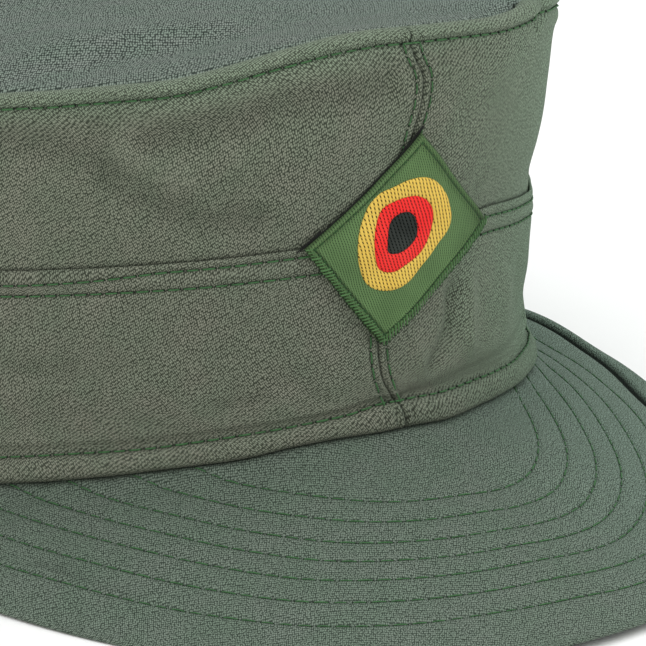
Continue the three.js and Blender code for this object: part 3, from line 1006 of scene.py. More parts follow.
@dataclass
class Stitching:
    """Lines of thread stitches, made by geometry nodes along rows.

    Attributes:
        thread: Thickness of the thread, in millimetres.
        pitch: Distance from stitch to stitch, in millimetres.
        length: Length of one stitch, in millimetres.
        arch: Height of a stitch's middle over its ends, in millimetres.
        turn: Degrees that each stitch is turned from the row.
        jitter: Share by which stitches differ in size.
        seed: Seed of those differences.
    """

    thread: float = 0.35
    pitch: float = 3.1
    length: float = 2.7
    arch: float = 0.26
    turn: float = 0.0
    jitter: float = 0.1
    seed: int = 7

    RINGS = 8
    SIDES = 6

    def stitch(self) -> bpy.types.Object:
        """Makes the one stitch that the rows repeat, at the origin and along X.

        Returns:
            The stitch, outside every collection.
        """
        run = np.linspace(-1, 1, self.RINGS)
        turn = np.arange(self.SIDES) / self.SIDES * 2 * math.pi
        radius = self.thread / 2 * (1 - 0.25 * run ** 2 + 0.5 * run ** 12)
        lift = self.arch * (1 - np.abs(run) ** 2.6) - 0.1
        points = np.stack(np.broadcast_arrays(
            (run * self.length / 2)[:, None],
            radius[:, None] * np.cos(turn),
            lift[:, None] + radius[:, None] * 0.8 * np.sin(turn),
        ), axis=-1).reshape(-1, 3) * MM
        faces = []
        for ring in range(self.RINGS - 1):
            here, there = ring * self.SIDES, (ring + 1) * self.SIDES
            for j in range(self.SIDES):
                k = (j + 1) % self.SIDES
                faces.append([here + j, there + j, there + k, here + k])
        faces.append(list(range(self.SIDES)))
        faces.append([(self.RINGS - 1) * self.SIDES + j for j in reversed(range(self.SIDES))])
        mesh = bpy.data.meshes.new("one_stitch")
        mesh.from_pydata(points.tolist(), [], [face[::-1] for face in faces])
        ends = mesh.attributes.new(STITCH_END, "FLOAT", "POINT")
        ends.data.foreach_set("value", np.repeat(np.abs(run) ** 5, self.SIDES).astype(np.float32))
        mesh.shade_smooth()
        return bpy.data.objects.new("one_stitch", mesh)

    @staticmethod
    def tree() -> bpy.types.NodeTree:
        """Builds the node tree that lays stitches along rows.

        Returns:
            A tree with inputs Rows, Stitch, Thread, Pitch, Turn, Jitter and Seed.
        """
        tree = bpy.data.node_groups.new("stitches_along_rows", "GeometryNodeTree")
        sockets = {
            "Rows": "NodeSocketGeometry", "Stitch": "NodeSocketObject", "Thread": "NodeSocketMaterial",
            "Pitch": "NodeSocketFloat", "Turn": "NodeSocketFloat", "Jitter": "NodeSocketFloat",
            "Seed": "NodeSocketInt",
        }
        for name, kind in sockets.items():
            tree.interface.new_socket(name=name, in_out="INPUT", socket_type=kind)
        tree.interface.new_socket(name="Stitches", in_out="OUTPUT", socket_type="NodeSocketGeometry")

        def add(kind: str, **settings: object) -> bpy.types.Node:
            """Adds a node and sets its properties.

            Args:
                kind: Kind of node.
                **settings: Its properties.

            Returns:
                The node.
            """
            node = tree.nodes.new(kind)
            for name, value in settings.items():
                setattr(node, name, value)
            return node

        link = tree.links.new
        given, result = add("NodeGroupInput"), add("NodeGroupOutput")
        curve, spaced = add("GeometryNodeMeshToCurve"), add("GeometryNodeResampleCurve", mode="LENGTH")
        link(given.outputs["Rows"], curve.inputs["Mesh"])
        link(curve.outputs["Curve"], spaced.inputs["Curve"])
        link(given.outputs["Pitch"], spaced.inputs["Length"])
        along = add("FunctionNodeAlignRotationToVector", axis="X")
        link(add("GeometryNodeInputTangent").outputs[0], along.inputs["Vector"])
        away = add("GeometryNodeInputNamedAttribute", data_type="FLOAT_VECTOR")
        away.inputs["Name"].default_value = AWAY
        upright = add("FunctionNodeAlignRotationToVector", axis="Z", pivot_axis="X")
        link(along.outputs["Rotation"], upright.inputs["Rotation"])
        link(away.outputs["Attribute"], upright.inputs["Vector"])
        twist = add("FunctionNodeAxisAngleToRotation")
        twist.inputs["Axis"].default_value = (0, 0, 1)
        link(given.outputs["Turn"], twist.inputs["Angle"])
        turned = add("FunctionNodeRotateRotation", rotation_space="LOCAL")
        link(upright.outputs["Rotation"], turned.inputs["Rotation"])
        link(twist.outputs["Rotation"], turned.inputs["Rotate By"])
        spread = add("FunctionNodeRandomValue", data_type="FLOAT")
        low, high = add("ShaderNodeMath", operation="SUBTRACT"), add("ShaderNodeMath", operation="ADD")
        for node in (low, high):
            node.inputs[0].default_value = 1
            link(given.outputs["Jitter"], node.inputs[1])
        link(low.outputs[0], spread.inputs[2])
        link(high.outputs[0], spread.inputs[3])
        link(given.outputs["Seed"], spread.inputs["Seed"])
        stitch = add("GeometryNodeObjectInfo")
        link(given.outputs["Stitch"], stitch.inputs["Object"])
        laid = add("GeometryNodeInstanceOnPoints")
        link(spaced.outputs["Curve"], laid.inputs["Points"])
        link(stitch.outputs["Geometry"], laid.inputs["Instance"])
        link(turned.outputs["Rotation"], laid.inputs["Rotation"])
        link(spread.outputs[1], laid.inputs["Scale"])
        real, dressed = add("GeometryNodeRealizeInstances"), add("GeometryNodeSetMaterial")
        link(laid.outputs["Instances"], real.inputs["Geometry"])
        link(real.outputs["Geometry"], dressed.inputs["Geometry"])
        link(given.outputs["Thread"], dressed.inputs["Material"])
        link(dressed.outputs["Geometry"], result.inputs["Stitches"])
        return tree

    def sew(self, name: str, rows: list[Row], form: CapForm, finish: bpy.types.Material) -> bpy.types.Object:
        """Sews rows of stitches and shows them as one piece.

        Args:
            name: Name of the piece.
            rows: Lines of sewing.
            form: Cap form that gives the resting place.
            finish: Thread material.

        Returns:
            The piece.
        """
        lines = bpy.data.meshes.new(name + "_rows")
        points = np.concatenate([form.rested(row.points) for row in rows])
        starts = np.cumsum([0] + [len(row.points) for row in rows])
        edges = [(k, k + 1) for first, last in zip(starts, starts[1:]) for k in range(first, last - 1)]
        lines.from_pydata(points.tolist(), edges, [])
        away = lines.attributes.new(AWAY, "FLOAT_VECTOR", "POINT")
        vectors = np.concatenate([form.turned(row.away) for row in rows])
        away.data.foreach_set("vector", vectors.astype(np.float32).ravel())
        carrier = bpy.data.objects.new(name + "_rows", lines)
        stitch = self.stitch()
        for thing in (carrier, stitch):
            bpy.context.scene.collection.objects.link(thing)
        work = carrier.modifiers.new("sewing", "NODES")
        work.node_group = bpy.data.node_groups.get("stitches_along_rows") or self.tree()
        values = {
            "Stitch": stitch, "Thread": finish, "Pitch": self.pitch * MM, "Turn": math.radians(self.turn),
            "Jitter": self.jitter, "Seed": self.seed,
        }
        for item in work.node_group.interface.items_tree:
            if item.in_out == "INPUT" and item.name in values:
                work[item.identifier] = values[item.name]
        graph = bpy.context.evaluated_depsgraph_get()
        mesh = bpy.data.meshes.new_from_object(carrier.evaluated_get(graph))
        mesh.name = name
        for thing in (carrier, stitch):
            bpy.data.objects.remove(thing)
        return shown(name, mesh, finish)


@dataclass
class SeamLine:
    """Front seam of the crown and the two rows of topstitching beside it.

    Attributes:
        levels: Shares of the crown height where the seam was measured.
        angles: Degrees of the seam at those levels, positive to the wearer's left.
        row_away: Distance of each row from the seam, in millimetres.
        roll_in: Depth that the cloth turns in at the seam, in millimetres.
    """

    levels: tuple[float, ...] = (0, 0.1, 0.2, 0.27, 0.56, 0.8, 0.87, 0.92, 0.96, 1)
    angles: tuple[float, ...] = (0.6, -1.3, -2.6, -2.8, 0.3, 2.3, 3.5, 3.4, 1.9, 1.0)
    row_away: float = 1.85
    roll_in: float = 0.45

    def angle(self, level: Array) -> Array:
        """Angle of the seam in radians at shares of the crown height."""
        return np.radians(through(list(self.levels), list(self.angles), level))

    def dip(self, away: Array) -> Array:
        """Depth of the seam, its ridge and its stitch groove at distances from it, in millimetres.

        Args:
            away: Distance from the seam.

        Returns:
            The height at each distance.
        """
        seam = -self.roll_in * hill(away / 0.4)
        ridge = 0.16 * hill((away - 0.95) / 0.55)
        groove = -0.24 * hill((away - self.row_away) / 0.45)
        return seam + ridge + groove

    def shade(self, away: Array) -> Array:
        """Painted shade in the seam and in the groove of the stitch row beside it."""
        return -0.5 * hill(away / 0.3) - 0.16 * hill((away - self.row_away) / 0.3)


@dataclass
class Tier:
    """What the two tiers of the crown share: how their panels run from the front seam to the back.

    Attributes:
        form: Shape of the cap.
        seam: Front seam.
        waves: Slow unevenness of the cloth.
        creases: Small unevenness of the cloth.
    """

    form: CapForm
    seam: SeamLine = field(default_factory=SeamLine)
    waves: Unevenness = Unevenness(11, 26, 80, 0.34)
    creases: Unevenness = Unevenness(12, 7, 20, 0.07)

    SEAM_GAP = 0.06

    def arc(self) -> tuple[Array, Array]:
        """Angles around the crown and the distance along it at each, from the front to the back.

        Returns:
            The angles and the distances.
        """
        angles = np.linspace(0, math.pi, 1801)
        line = self.form.point(angles, self.form.seam_height / self.form.crown_height)[:, :2]
        steps = np.linalg.norm(np.diff(line, axis=0), axis=1)
        return angles, np.concatenate([[0], np.cumsum(steps)])

    def columns(self) -> tuple[Array, Array]:
        """Shares of the way round a panel and the distance from the front seam at each.

        Returns:
            The shares and the distances.
        """
        angles, along = self.arc()
        length = along[-1]
        away = stations((0, 4, 0.2), (4, 104, 0.36), (104, length - 4, 1.25), (length - 4, length, 0.3))
        return np.interp(away, along, angles) / math.pi, away

    def angles(self, side: Side, share: Array, level: Array) -> Array:
        """Angles of a panel's places from its seams' shares of the way round and levels.

        Args:
            side: Half of the crown.
            share: Share of the way round.
            level: Share of the crown height.

        Returns:
            The angles, in radians.
        """
        clear = self.SEAM_GAP / 2 / self.form.half_width
        first = self.seam.angle(level) + side.value * clear
        return first + (side.value * (math.pi - clear) - first) * share

    def crease_tone(self, angle: Array, level: Array) -> Array:
        """Painted shade down in the creases of the cloth, and painted light on their ridges."""
        return 0.1 * self.form.crease_depth(np.mod(np.degrees(angle) + 180, 360) - 180, level)

    def row(
        self, side: Side, height: float, out: float, start: float, end: float,
        up: Callable[[Array], Array] | float = 0.0,
    ) -> Row:
        """Line of sewing along a panel.

        Args:
            side: Half of the crown.
            height: Height of the line.
            out: Distance of the line from the outline.
            start: Distance from the front seam where it starts.
            end: Distance from the back seam where it ends.
            up: Distance above the outline's height, one number or a curve over the distance from the front
                seam, positive to the wearer's left.

        Returns:
            The row.
        """
        table_angles, along = self.arc()
        away = np.arange(start, along[-1] - end, 0.8)
        share = np.interp(away, along, table_angles) / math.pi
        level = np.full_like(away, height) / self.form.crown_height
        angle = self.angles(side, share, level)
        lift = up(side.value * away) if callable(up) else up
        points = self.form.point(angle, level, out + self.uneven(side, away, level), lift)
        return Row(points, self.form.outward(angle, level))

    def seam_row(self, side: Side, low: float, high: float, out: float) -> Row:
        """Line of sewing beside the front seam, between two heights.

        Args:
            side: Half of the crown.
            low: Height where it starts.
            high: Height where it ends.
            out: Distance from the outline.

        Returns:
            The row.
        """
        level = np.arange(low, high, 0.6) / self.form.crown_height
        table_angles, along = self.arc()
        share = np.interp(self.seam.row_away, along, table_angles) / math.pi
        angle = self.angles(side, np.full_like(level, share), level)
        away = np.full_like(level, self.seam.row_away)
        points = self.form.point(angle, level, out + self.uneven(side, away, level))
        return Row(points, self.form.outward(angle, level))

    def uneven(self, side: Side, away: Array, level: Array) -> Array:
        """Unevenness of the cloth at distances from the front seam and levels.

        Args:
            side: Half of the crown.
            away: Distance from the front seam.
            level: Share of the crown height.

        Returns:
            The height at each place.
        """
        along = away * side.value
        up = level * self.form.crown_height
        return self.waves.at(along, up) + self.creases.at(along, up)


@dataclass
class LowerTier(Tier):
    """Lower tier of the crown: rolled hem, plain wall and the folded edge that laps over the upper tier.

    Attributes:
        hem_roll: Height of the roll at the hem.
        hem_bulge: Distance that it stands out.
        hem_depth: Depth of the turned-in hem.
        hem_thick: Thickness of the hem.
        edge_thick: Thickness of the pressed edge that laps over the upper tier.
        row_near: Distance of the first stitch row below the lap's edge.
        row_far: Distance of the second.
    """

    hem_roll: float = 4.1
    hem_bulge: float = 1.3
    hem_depth: float = 12.0
    hem_thick: float = 2.8
    edge_thick: float = 0.7
    row_near: float = 1.9
    row_far: float = 5.2

    HEM_ROW = 4.45

    def profile(self) -> tuple[Array, Array, Array]:
        """Section of the tier: heights, distances outward and shade, round the whole cloth.

        Returns:
            The heights, distances outward and shades.
        """
        top = self.form.seam_height
        fold = self.edge_thick / 2
        high = stations((0, 8, 0.3), (8, 34.4, 1.2), (34.4, top - fold, 0.22))
        roll = through([0, 0.14, 0.5, 0.86, 1.06, 1.8], [0.25, 0.75, 1, 0.6, -0.25, 0], high / self.hem_roll)
        near, far = high - top + self.row_near, high - top + self.row_far
        rows = -0.26 * hill(near / 0.5) - 0.3 * hill(far / 0.5)
        puff = 0.2 * hill((high - top + 3.6) / 1.0) + 0.1 * hill((high - top + 0.8) / 0.7)
        out = roll * self.hem_bulge + rows + puff
        # Painted shade in the grooves of the two rows under the lap, in the hem row's groove and at the foot
        # of the hem, where it meets the peak; painted light on the hem's bulge.
        dark = -0.16 * hill(near / 0.35) - 0.2 * hill(far / 0.35)
        at_hem = -0.25 * hill((high - self.HEM_ROW) / 0.5) + 0.04 * hill((high - 2.4) / 1.2)
        dark += at_hem - 0.2 * hill(high / 0.35)
        over = np.linspace(0, math.pi, 8)[1:-1]
        fold_out, fold_up = fold * np.cos(over) - fold, top - fold + fold * np.sin(over)
        back = np.linspace(top - fold, 0, 16)
        cloth = self.form.cloth
        turned_in = 1 - smoothstep(self.hem_depth - 2, self.hem_depth, back)
        inner = -(cloth + (self.hem_thick - cloth) * turned_in)
        inner = inner + (cloth - self.edge_thick) * smoothstep(top - 6, top - fold, back)
        heights = np.concatenate([high, fold_up, back])
        outs = np.concatenate([out, fold_out, inner])
        shades = np.concatenate([dark, np.zeros(len(over) + len(back))])
        return heights, outs, shades

    @staticmethod
    def hem_row_rise(along: Array) -> Array:
        """Rise of the hem's stitch row at distances from the front seam, positive to the wearer's left."""
        return through(*zip(*HEM_ROW_RISE), along)

    @staticmethod
    def lap_row_rise(along: Array) -> Array:
        """Rise of the row under the lap at distances from the front seam, positive to the wearer's left."""
        return through(*zip(*LAP_ROW_RISE), along)

    def panel(self, side: Side) -> Skin:
        """Closed skin of one panel of the tier.

        Args:
            side: Half of the crown.

        Returns:
            The skin.
        """
        share, away = self.columns()
        heights, outs, shades = self.profile()
        level = heights / self.form.crown_height
        angle = self.angles(side, share[:, None], level[None, :])
        end_away = np.minimum(away, away[-1] - away)[:, None]
        surface = np.arange(len(heights)) < np.argmax(heights) + 1
        detail = (self.seam.dip(end_away) + self.uneven(side, away[:, None], level[None, :])) * surface
        inside = self.uneven(side, away[:, None], level[None, :]) * ~surface
        near_row = smoothstep(0, self.HEM_ROW, heights)
        near_row = near_row * (1 - smoothstep(self.HEM_ROW, 3.2 * self.HEM_ROW, heights)) * surface
        rise = self.hem_row_rise(side.value * away)[:, None] * near_row
        near_lap = hill((heights - self.form.seam_height + self.row_near) / 1.3) * surface
        rise = rise + self.lap_row_rise(side.value * away)[:, None] * near_lap
        rows = self.form.point(angle, level[None, :], outs[None, :] + detail + inside, rise)
        steps = np.hypot(np.diff(heights, append=heights[0]), np.diff(outs, append=outs[0]))
        length = np.concatenate([[0], np.cumsum(steps)])
        weave = np.stack(np.broadcast_arrays(side.value * away[:, None], length[None, :]), axis=-1)
        # Painted shade beside the seam and in the creases, painted light on the creases' ridges, and the
        # hem's face darkened toward the wearer's left.
        far = smoothstep(-40, 30, side.value * away)[:, None]
        shade = shades[None, :] + (self.seam.shade(end_away) + self.crease_tone(angle, level)) * surface
        shade = shade - 0.2 * far * hill((heights - 2.2) / 1.9)[None, :] * surface
        return Skin(rows, weave, shade)

    def build(self, cloth: bpy.types.Material, thread: bpy.types.Material) -> list[bpy.types.Object]:
        """Makes both panels and their sewing.

        Args:
            cloth: Cloth of the tier.
            thread: Sewing thread.

        Returns:
            The pieces made.
        """
        made, rows = [], []
        top = self.form.seam_height
        for side in Side:
            name = f"lower_panel_{side.label}"
            piece = shown(name + "_cloth", self.panel(side).mesh(name, self.form), cloth)
            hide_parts(name)
            made.append(piece)
            rows.append(self.row(side, self.HEM_ROW, 0.0, 0.6, 2.5, self.hem_row_rise))
            rows.append(self.row(side, top - self.row_near, -0.08, 1, 2.5, self.lap_row_rise))
            rows.append(self.row(side, top - self.row_far, -0.1, 1, 2.5))
            rows.append(self.seam_row(side, 4.5, top - 2, -0.06))
        made.append(Stitching().sew("lower_tier_stitches", rows, self.form, thread))
        return made


@dataclass
class UpperTier(Tier):
    """Upper tier of the crown: from behind the lap, up the wall and over the top edge to the crease.

    Attributes:
        lap: Depth that it reaches down behind the lower tier.
        inset: Distance from the wall to the crease.
        rise: Height of the roll over the stitch row.
        row_below: Distance of the stitch row below the top of the wall.
        shown_step: Distance that it stands back behind the lap's pressed edge.
    """

    waves: Unevenness = Unevenness(11, 26, 80, 0.34)
    lap: float = 8.0
    inset: float = 5.0
    rise: float = 2.0
    row_below: float = 0.7
    shown_step: float = 0.95

    FOOT = (-1.0, -0.6, 0.0, 0.3, 0.9, 1.2)

    def profile(self) -> tuple[Array, Array, Array, Array]:
        """Section of the tier: heights, distances outward and upward and shade, round the whole cloth.

        Returns:
            The heights, distances outward, distances upward and shades.
        """
        seam, top, cloth = self.form.seam_height, self.form.crown_height, self.form.cloth
        step, shown_step = cloth + self.form.gap, self.shown_step
        high = stations(
            (seam - self.lap, seam - 1, 1.2), (seam - 1, seam + 8, 0.5),
            (seam + 8, top - 4, 0.9), (top - 4, top, 0.25),
        )
        foot = [step, step, shown_step, 0.7 * shown_step, 0.15 * shown_step, 0]
        wall = -through(self.FOOT, foot, (high - seam) / self.lap)
        wall = wall - 0.42 * hill((high - top + self.row_below) / 0.55)
        over = np.linspace(0, 1, 22)[1:]
        inset = through([0, 0.25, 0.5, 0.75, 1], [-0.06, 0.02, 0.35, 0.72, 1], over)
        rise = through([0, 0.25, 0.5, 0.75, 1], [0.1, 0.72, 1.05, 0.95, 0.4], over)
        # Painted shade in the groove of the row under the top edge and along the foot, under the lap's edge;
        # painted light on the crest of the roll and painted shade in the crease at its end.
        shade_wall = -0.2 * hill((high - top + self.row_below) / 0.35) - 0.35 * hill((high - seam) / 0.45)
        shade_roll = 0.08 * hill((over - 0.45) / 0.3) - 0.3 * hill((over - 1) / 0.1)
        lean = np.linspace(1, 0, 8)
        back_out = -lean * self.inset - cloth * np.cos(lean * math.pi / 2)
        back_up = through([0, 0.16, 0.45, 0.75, 1], [0, 0.86, 1, 0.9, 0.4], lean) * self.rise
        back_up = back_up - cloth * np.sin(lean * math.pi / 2)
        down = np.linspace(top - 1, seam - self.lap, 14)
        down_out = -through(self.FOOT, foot, (down - seam) / self.lap) - cloth
        heights = np.concatenate([high, np.full(len(over) + len(lean), top), down])
        outs = np.concatenate([wall, -inset * self.inset, back_out, down_out])
        ups = np.concatenate([np.zeros_like(high), rise * self.rise, back_up, np.zeros_like(down)])
        shades = np.concatenate([shade_wall, shade_roll, np.zeros(len(lean) + len(down))])
        return heights, outs, ups, shades

    def panel(self, side: Side) -> Skin:
        """Closed skin of one panel of the tier.

        Args:
            side: Half of the crown.

        Returns:
            The skin.
        """
        share, away = self.columns()
        heights, outs, ups, shades = self.profile()
        level = heights / self.form.crown_height
        angle = self.angles(side, share[:, None], level[None, :])
        end_away = np.minimum(away, away[-1] - away)[:, None]
        surface = (np.arange(len(heights)) < len(heights) - 22)[None, :]
        detail = self.seam.dip(end_away) * surface + self.uneven(side, away[:, None], level[None, :])
        rows = self.form.point(angle, level[None, :], outs[None, :] + detail, ups[None, :])
        steps = np.hypot(np.diff(heights, append=heights[0]), np.diff(outs, append=outs[0]))
        steps = np.hypot(steps, np.diff(ups, append=ups[0]))
        length = np.concatenate([[0], np.cumsum(steps)])
        weave = np.stack(np.broadcast_arrays(side.value * away[:, None] + 400, length[None, :]), axis=-1)
        # Painted shade beside the seam and in the creases, and painted light on the creases' ridges.
        shade = shades[None, :] + (self.seam.shade(end_away) + self.crease_tone(angle, level)) * surface
        return Skin(rows, weave, shade)

    def build(self, cloth: bpy.types.Material, thread: bpy.types.Material) -> list[bpy.types.Object]:
        """Makes both panels and their sewing.

        Args:
            cloth: Cloth of the tier.
            thread: Sewing thread.

        Returns:
            The pieces made.
        """
        made, rows = [], []
        top = self.form.crown_height
        for side in Side:
            name = f"upper_panel_{side.label}"
            piece = shown(name + "_cloth", self.panel(side).mesh(name, self.form), cloth)
            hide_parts(name)
            made.append(piece)
            rows.append(self.row(side, top - self.row_below, -0.14, 1, 2.5))
            rows.append(self.seam_row(side, self.form.seam_height + 1, top - 1.5, -0.06))
        made.append(Stitching(seed=8).sew("upper_tier_stitches", rows, self.form, thread))
        return made


@dataclass
class TopPanel:
    """Oval top of the crown, set inside the rolled edge, domed and softly dented.

    Attributes:
        form: Shape of the cap.
        inset: Distance from the wall to the crease.
        crease_up: Height of the crease over the wall.
        dome: Height of the dome.
        edge_rise: Height that the panel rises just inside the crease.
        waves: Slow unevenness of the cloth.
    """

    form: CapForm
    inset: float = 5.3
    crease_up: float = 1.1
    dome: float = 3.0
    edge_rise: float = 0.7
    waves: Unevenness = Unevenness(21, 30, 90, 0.4)

    def surface(self, share: Array, rim: Array, middle: Array, drop: float) -> Array:
        """Points of the panel at shares of the way from the middle to the rim.

        Args:
            share: Shares from the middle, 0, to the rim, 1.
            rim: Points of the rim.
            middle: Middle of the rim.
            drop: Distance below the outer face.

        Returns:
            The points, by place on the rim and share.
        """
        flat = middle[:2] + (rim[:, None, :2] - middle[:2]) * share[None, :, None]
        x, y = flat[..., 0], flat[..., 1]
        inner = 1 - share[None, :] ** 2
        across, back = x / self.form.half_width, y / self.form.half_length
        lift = sum(s.lift * hill((across - s.across) / s.wide, (back - s.back) / s.long) for s in SWELLS)
        lift = lift + self.waves.at(x, y)
        edge = self.edge_rise * smoothstep(1, 0.965, share)[None, :]
        height = middle[2] + (rim[:, None, 2] - middle[2]) * share[None, :] ** 2
        height = height + self.dome * inner + lift * np.minimum(1, inner * 3) + edge - drop
        return np.concatenate([flat, height[..., None]], axis=-1)

    def skin(self) -> Skin:
        """Closed skin of the panel.

        Returns:
            The skin.
        """
        angles = np.linspace(0, 2 * math.pi, 540, endpoint=False)
        rim = self.form.point(angles, 1.0, -self.inset, self.crease_up)
        middle = rim.mean(axis=0)
        outer = np.concatenate([[1, 0.997, 0.992, 0.985, 0.975, 0.965], np.linspace(0.955, 0, 62)])
        inner = np.linspace(0, 1, 12)
        rows = np.concatenate([
            self.surface(outer, rim, middle, 0.0),
            self.surface(inner, rim, middle, self.form.cloth),
        ], axis=1)
        weave = np.concatenate([rows[..., :2], rows[:, :1, :2]], axis=1)
        weave = np.concatenate([weave, weave[:1]], axis=0)
        # Painted shade in the crease where the top panel meets the rolled edge.
        shade = np.concatenate([-0.35 * hill((outer - 1) / 0.006), np.zeros(len(inner))])
        return Skin(rows, weave, np.broadcast_to(shade, rows.shape[:2]).copy(), ring=True)

    def build(self, cloth: bpy.types.Material) -> bpy.types.Object:
        """Makes the panel from its cloth.

        Args:
            cloth: Cloth of the panel.

        Returns:
            The piece.
        """
        piece = shown("crown_top_cloth", self.skin().mesh("crown_top", self.form), cloth)
        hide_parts("crown_top")
        return piece


@dataclass
class Peak:
    """Stitched peak: one plate from inside the hem to its rounded edge, sewn in rows along its outline.

    Attributes:
        form: Shape of the cap.
        half_width: Half width of the outline.
        reach: Depth of the peak at the front.
        widest_ahead: Distance of the widest place ahead of the head's middle.
        roundness: Power of the outline's oval.
        thick: Thickness.
        end_thick: Thickness at the ends.
        fall: Fall from the hem to the front edge.
        side_fall: Further fall at the sides.
        end_share: Share of the fall that is left at the end on the wearer's right.
        left_end_lift: Rise of the end on the wearer's left.
        step: Step down just ahead of the hem.
        margin: Distance of the outer row from the edge.
        row_depths: Distance of each stitch row from the edge, the outer row first.
        outer_drift: Further distance that the outer row strays at the end on the wearer's left.
        rim_soft: Radius of the rounded rim.
        rim_ease: Distance over which the plate thickens inward from the rim.
        left_curl: Height that the margin curls up on the wearer's left.
        under: Distance that the peak reaches under the hem.
        waves: Slow unevenness of the cloth.
    """

    form: CapForm
    half_width: float = 96.5
    reach: float = 64.0
    widest_ahead: float = 8.2
    roundness: float = 2.15
    thick: float = 3.6
    end_thick: float = 2.0
    fall: float = 25.5
    side_fall: float = 2.6
    end_share: float = 0.4
    left_end_lift: float = 2.6
    step: float = 0.9
    margin: float = 10.2
    row_depths: tuple[float, ...] = (10.2, 16.2, 22.0, 27.2, 32.3, 38.2, 44.1)
    outer_drift: float = -2.2
    rim_soft: float = 0.7
    rim_ease: float = 9.0
    left_curl: float = 1.5
    under: float = 2.8
    waves: Unevenness = Unevenness(31, 22, 70, 0.22)

    LEVEL = (45.0, 90.0)
    TAPER = (72.0, 98.0)
    END = 97.0
    HEM_ROLL = 4.1

    def taper(self, angle: Array) -> Array:
        """Share of its reach and curl that the peak keeps near its ends.

        Args:
            angle: Angle from the front.

        Returns:
            The share at each angle.
        """
        low, high = self.TAPER
        past = np.clip((np.abs(np.degrees(angle)) - low) / (high - low), 0, 1)
        return (1 - past ** 2) ** 0.75

    def reach_at(self, angle: Array) -> Array:
        """Distance from the base line to the outline along the ray at each angle.

        Args:
            angle: Angle from the front.

        Returns:
            The distance at each angle.
        """
        base = self.form.point(angle, 0.0)
        length = self.form.half_length + self.reach - self.widest_ahead
        near, far = np.ones(len(angle)), np.full(len(angle), 3.0)
        for _ in range(40):
            factor = (near + far) / 2
            across = np.abs(factor * base[:, 0]) / self.half_width
            ahead = np.maximum(0, -factor * base[:, 1] - self.widest_ahead) / length
            inside = across ** self.roundness + ahead ** self.roundness < 1
            near, far = np.where(inside, factor, near), np.where(inside, far, factor)
        return (near - 1) * np.hypot(base[:, 0], base[:, 1]) * self.taper(angle)

    def rays(self, angle: Array) -> tuple[Array, Array, Array]:
        """Base points, level directions and reach of the rays at angles.

        Args:
            angle: Angle from the front.

        Returns:
            The base points, the directions and the reach.
        """
        base = self.form.point(angle, 0.0)
        flat = base[:, :2] / np.linalg.norm(base[:, :2], axis=1, keepdims=True)
        return base, flat, self.reach_at(angle)

    def from_edge(self, places: Array) -> Array:
        """Shortest distance of places to the outline.

        Args:
            places: Places on the level.

        Returns:
            The distance of each place.
        """
        angle = np.radians(np.linspace(-self.END, self.END, 900))
        base, flat, reach = self.rays(angle)
        outline = base[:, :2] + flat * reach[:, None]
        start, step = outline[:-1], np.diff(outline, axis=0)
        result = np.full(places.shape[:-1], np.inf)
        length = np.maximum(np.einsum("ij,ij->i", step, step), 1e-12)
        for first, run, size in zip(start, step, length):
            away = places - first
            share = np.clip((away @ run) / size, 0, 1)[..., None]
            result = np.minimum(result, np.linalg.norm(away - share * run, axis=-1))
        return result

    def crossings(self, angle: Array, depths: Array) -> Array:
        """Distances along rays where the outline is as far away as each depth.

        Args:
            angle: Angles of the rays.
            depths: Distances from the outline by ray, falling.

        Returns:
            The distances by ray and depth, below 0 where the depth lies inside the crown.
        """
        base, flat, reach = self.rays(angle)
        share = np.linspace(0, 1, 60)
        distance = share[None, :] * reach[:, None]
        edge = self.from_edge(base[:, None, :2] + flat[:, None, :] * distance[..., None])
        result = np.empty(depths.shape)
        for i, depth in enumerate(depths):
            ahead = np.interp(-depth, -edge[i], distance[i])
            hidden = -self.under * (depth - edge[i, 0]) / (depth[0] + 1 - edge[i, 0])
            result[i] = np.where(depth < edge[i, 0], ahead, hidden)
        return result

    def drift(self, angle: Array) -> Array:
        """Distance that the stitch rows stray inward from their places, at angles in radians."""
        return through(*zip(*ROW_DRIFT), np.degrees(angle))

    def row_places(self, angle: Array) -> Array:
        """Distances of the stitch rows from the edge at angles in radians, the outer row first.

        Args:
            angle: Angle from the front.

        Returns:
            The distances, by angle and row.
        """
        places = np.asarray(self.row_depths) + self.drift(angle)[..., None]
        places[..., 0] += self.outer_drift * smoothstep(50, 74, np.degrees(angle))
        return places

    def far_side(self, angle: Array) -> Array:
        """Share of the deep outer groove on the wearer's left, at angles in radians."""
        return smoothstep(28, 52, np.degrees(angle))

    def height(self, place: Array, angle: Array, distance: Array, edge: Array) -> Array:
        """Height of the upper face at places with their distance from the base line and from the outline.

        Args:
            place: Places on the level.
            angle: Angle from the front.
            distance: Distance from the base line.
            edge: Distance from the outline.

        Returns:
            The height at each place.
        """
        base = self.form.point(angle, 0.0)[..., 2]
        degrees = np.degrees(angle)
        across = place[..., 0] / self.half_width
        eased = smoothstep(*self.LEVEL, np.abs(degrees))
        slope = (self.fall + self.side_fall * across ** 2) * (1 + (self.end_share - 1) * eased)
        step = self.step * smoothstep(0, self.HEM_ROLL, distance)
        past = np.clip(1 - edge / self.margin, 0, 1)
        left = smoothstep(0, self.LEVEL[0], degrees) * self.taper(angle)
        curl = self.left_curl * past * left * np.clip(distance / self.margin, 0, 1)
        base = base - self.form.hem_rise(angle) * smoothstep(0, 14, distance)
        level = base - self.form.gap - step - slope * np.maximum(distance, 0) / self.reach
        waves = self.waves.at(place[..., 0], place[..., 1]) * smoothstep(0, 12, distance)
        lift = self.left_end_lift * smoothstep(66, 84, degrees) * np.clip(distance / 5, 0, 1)
        return level + curl + lift + waves + self.quilting(edge, angle)

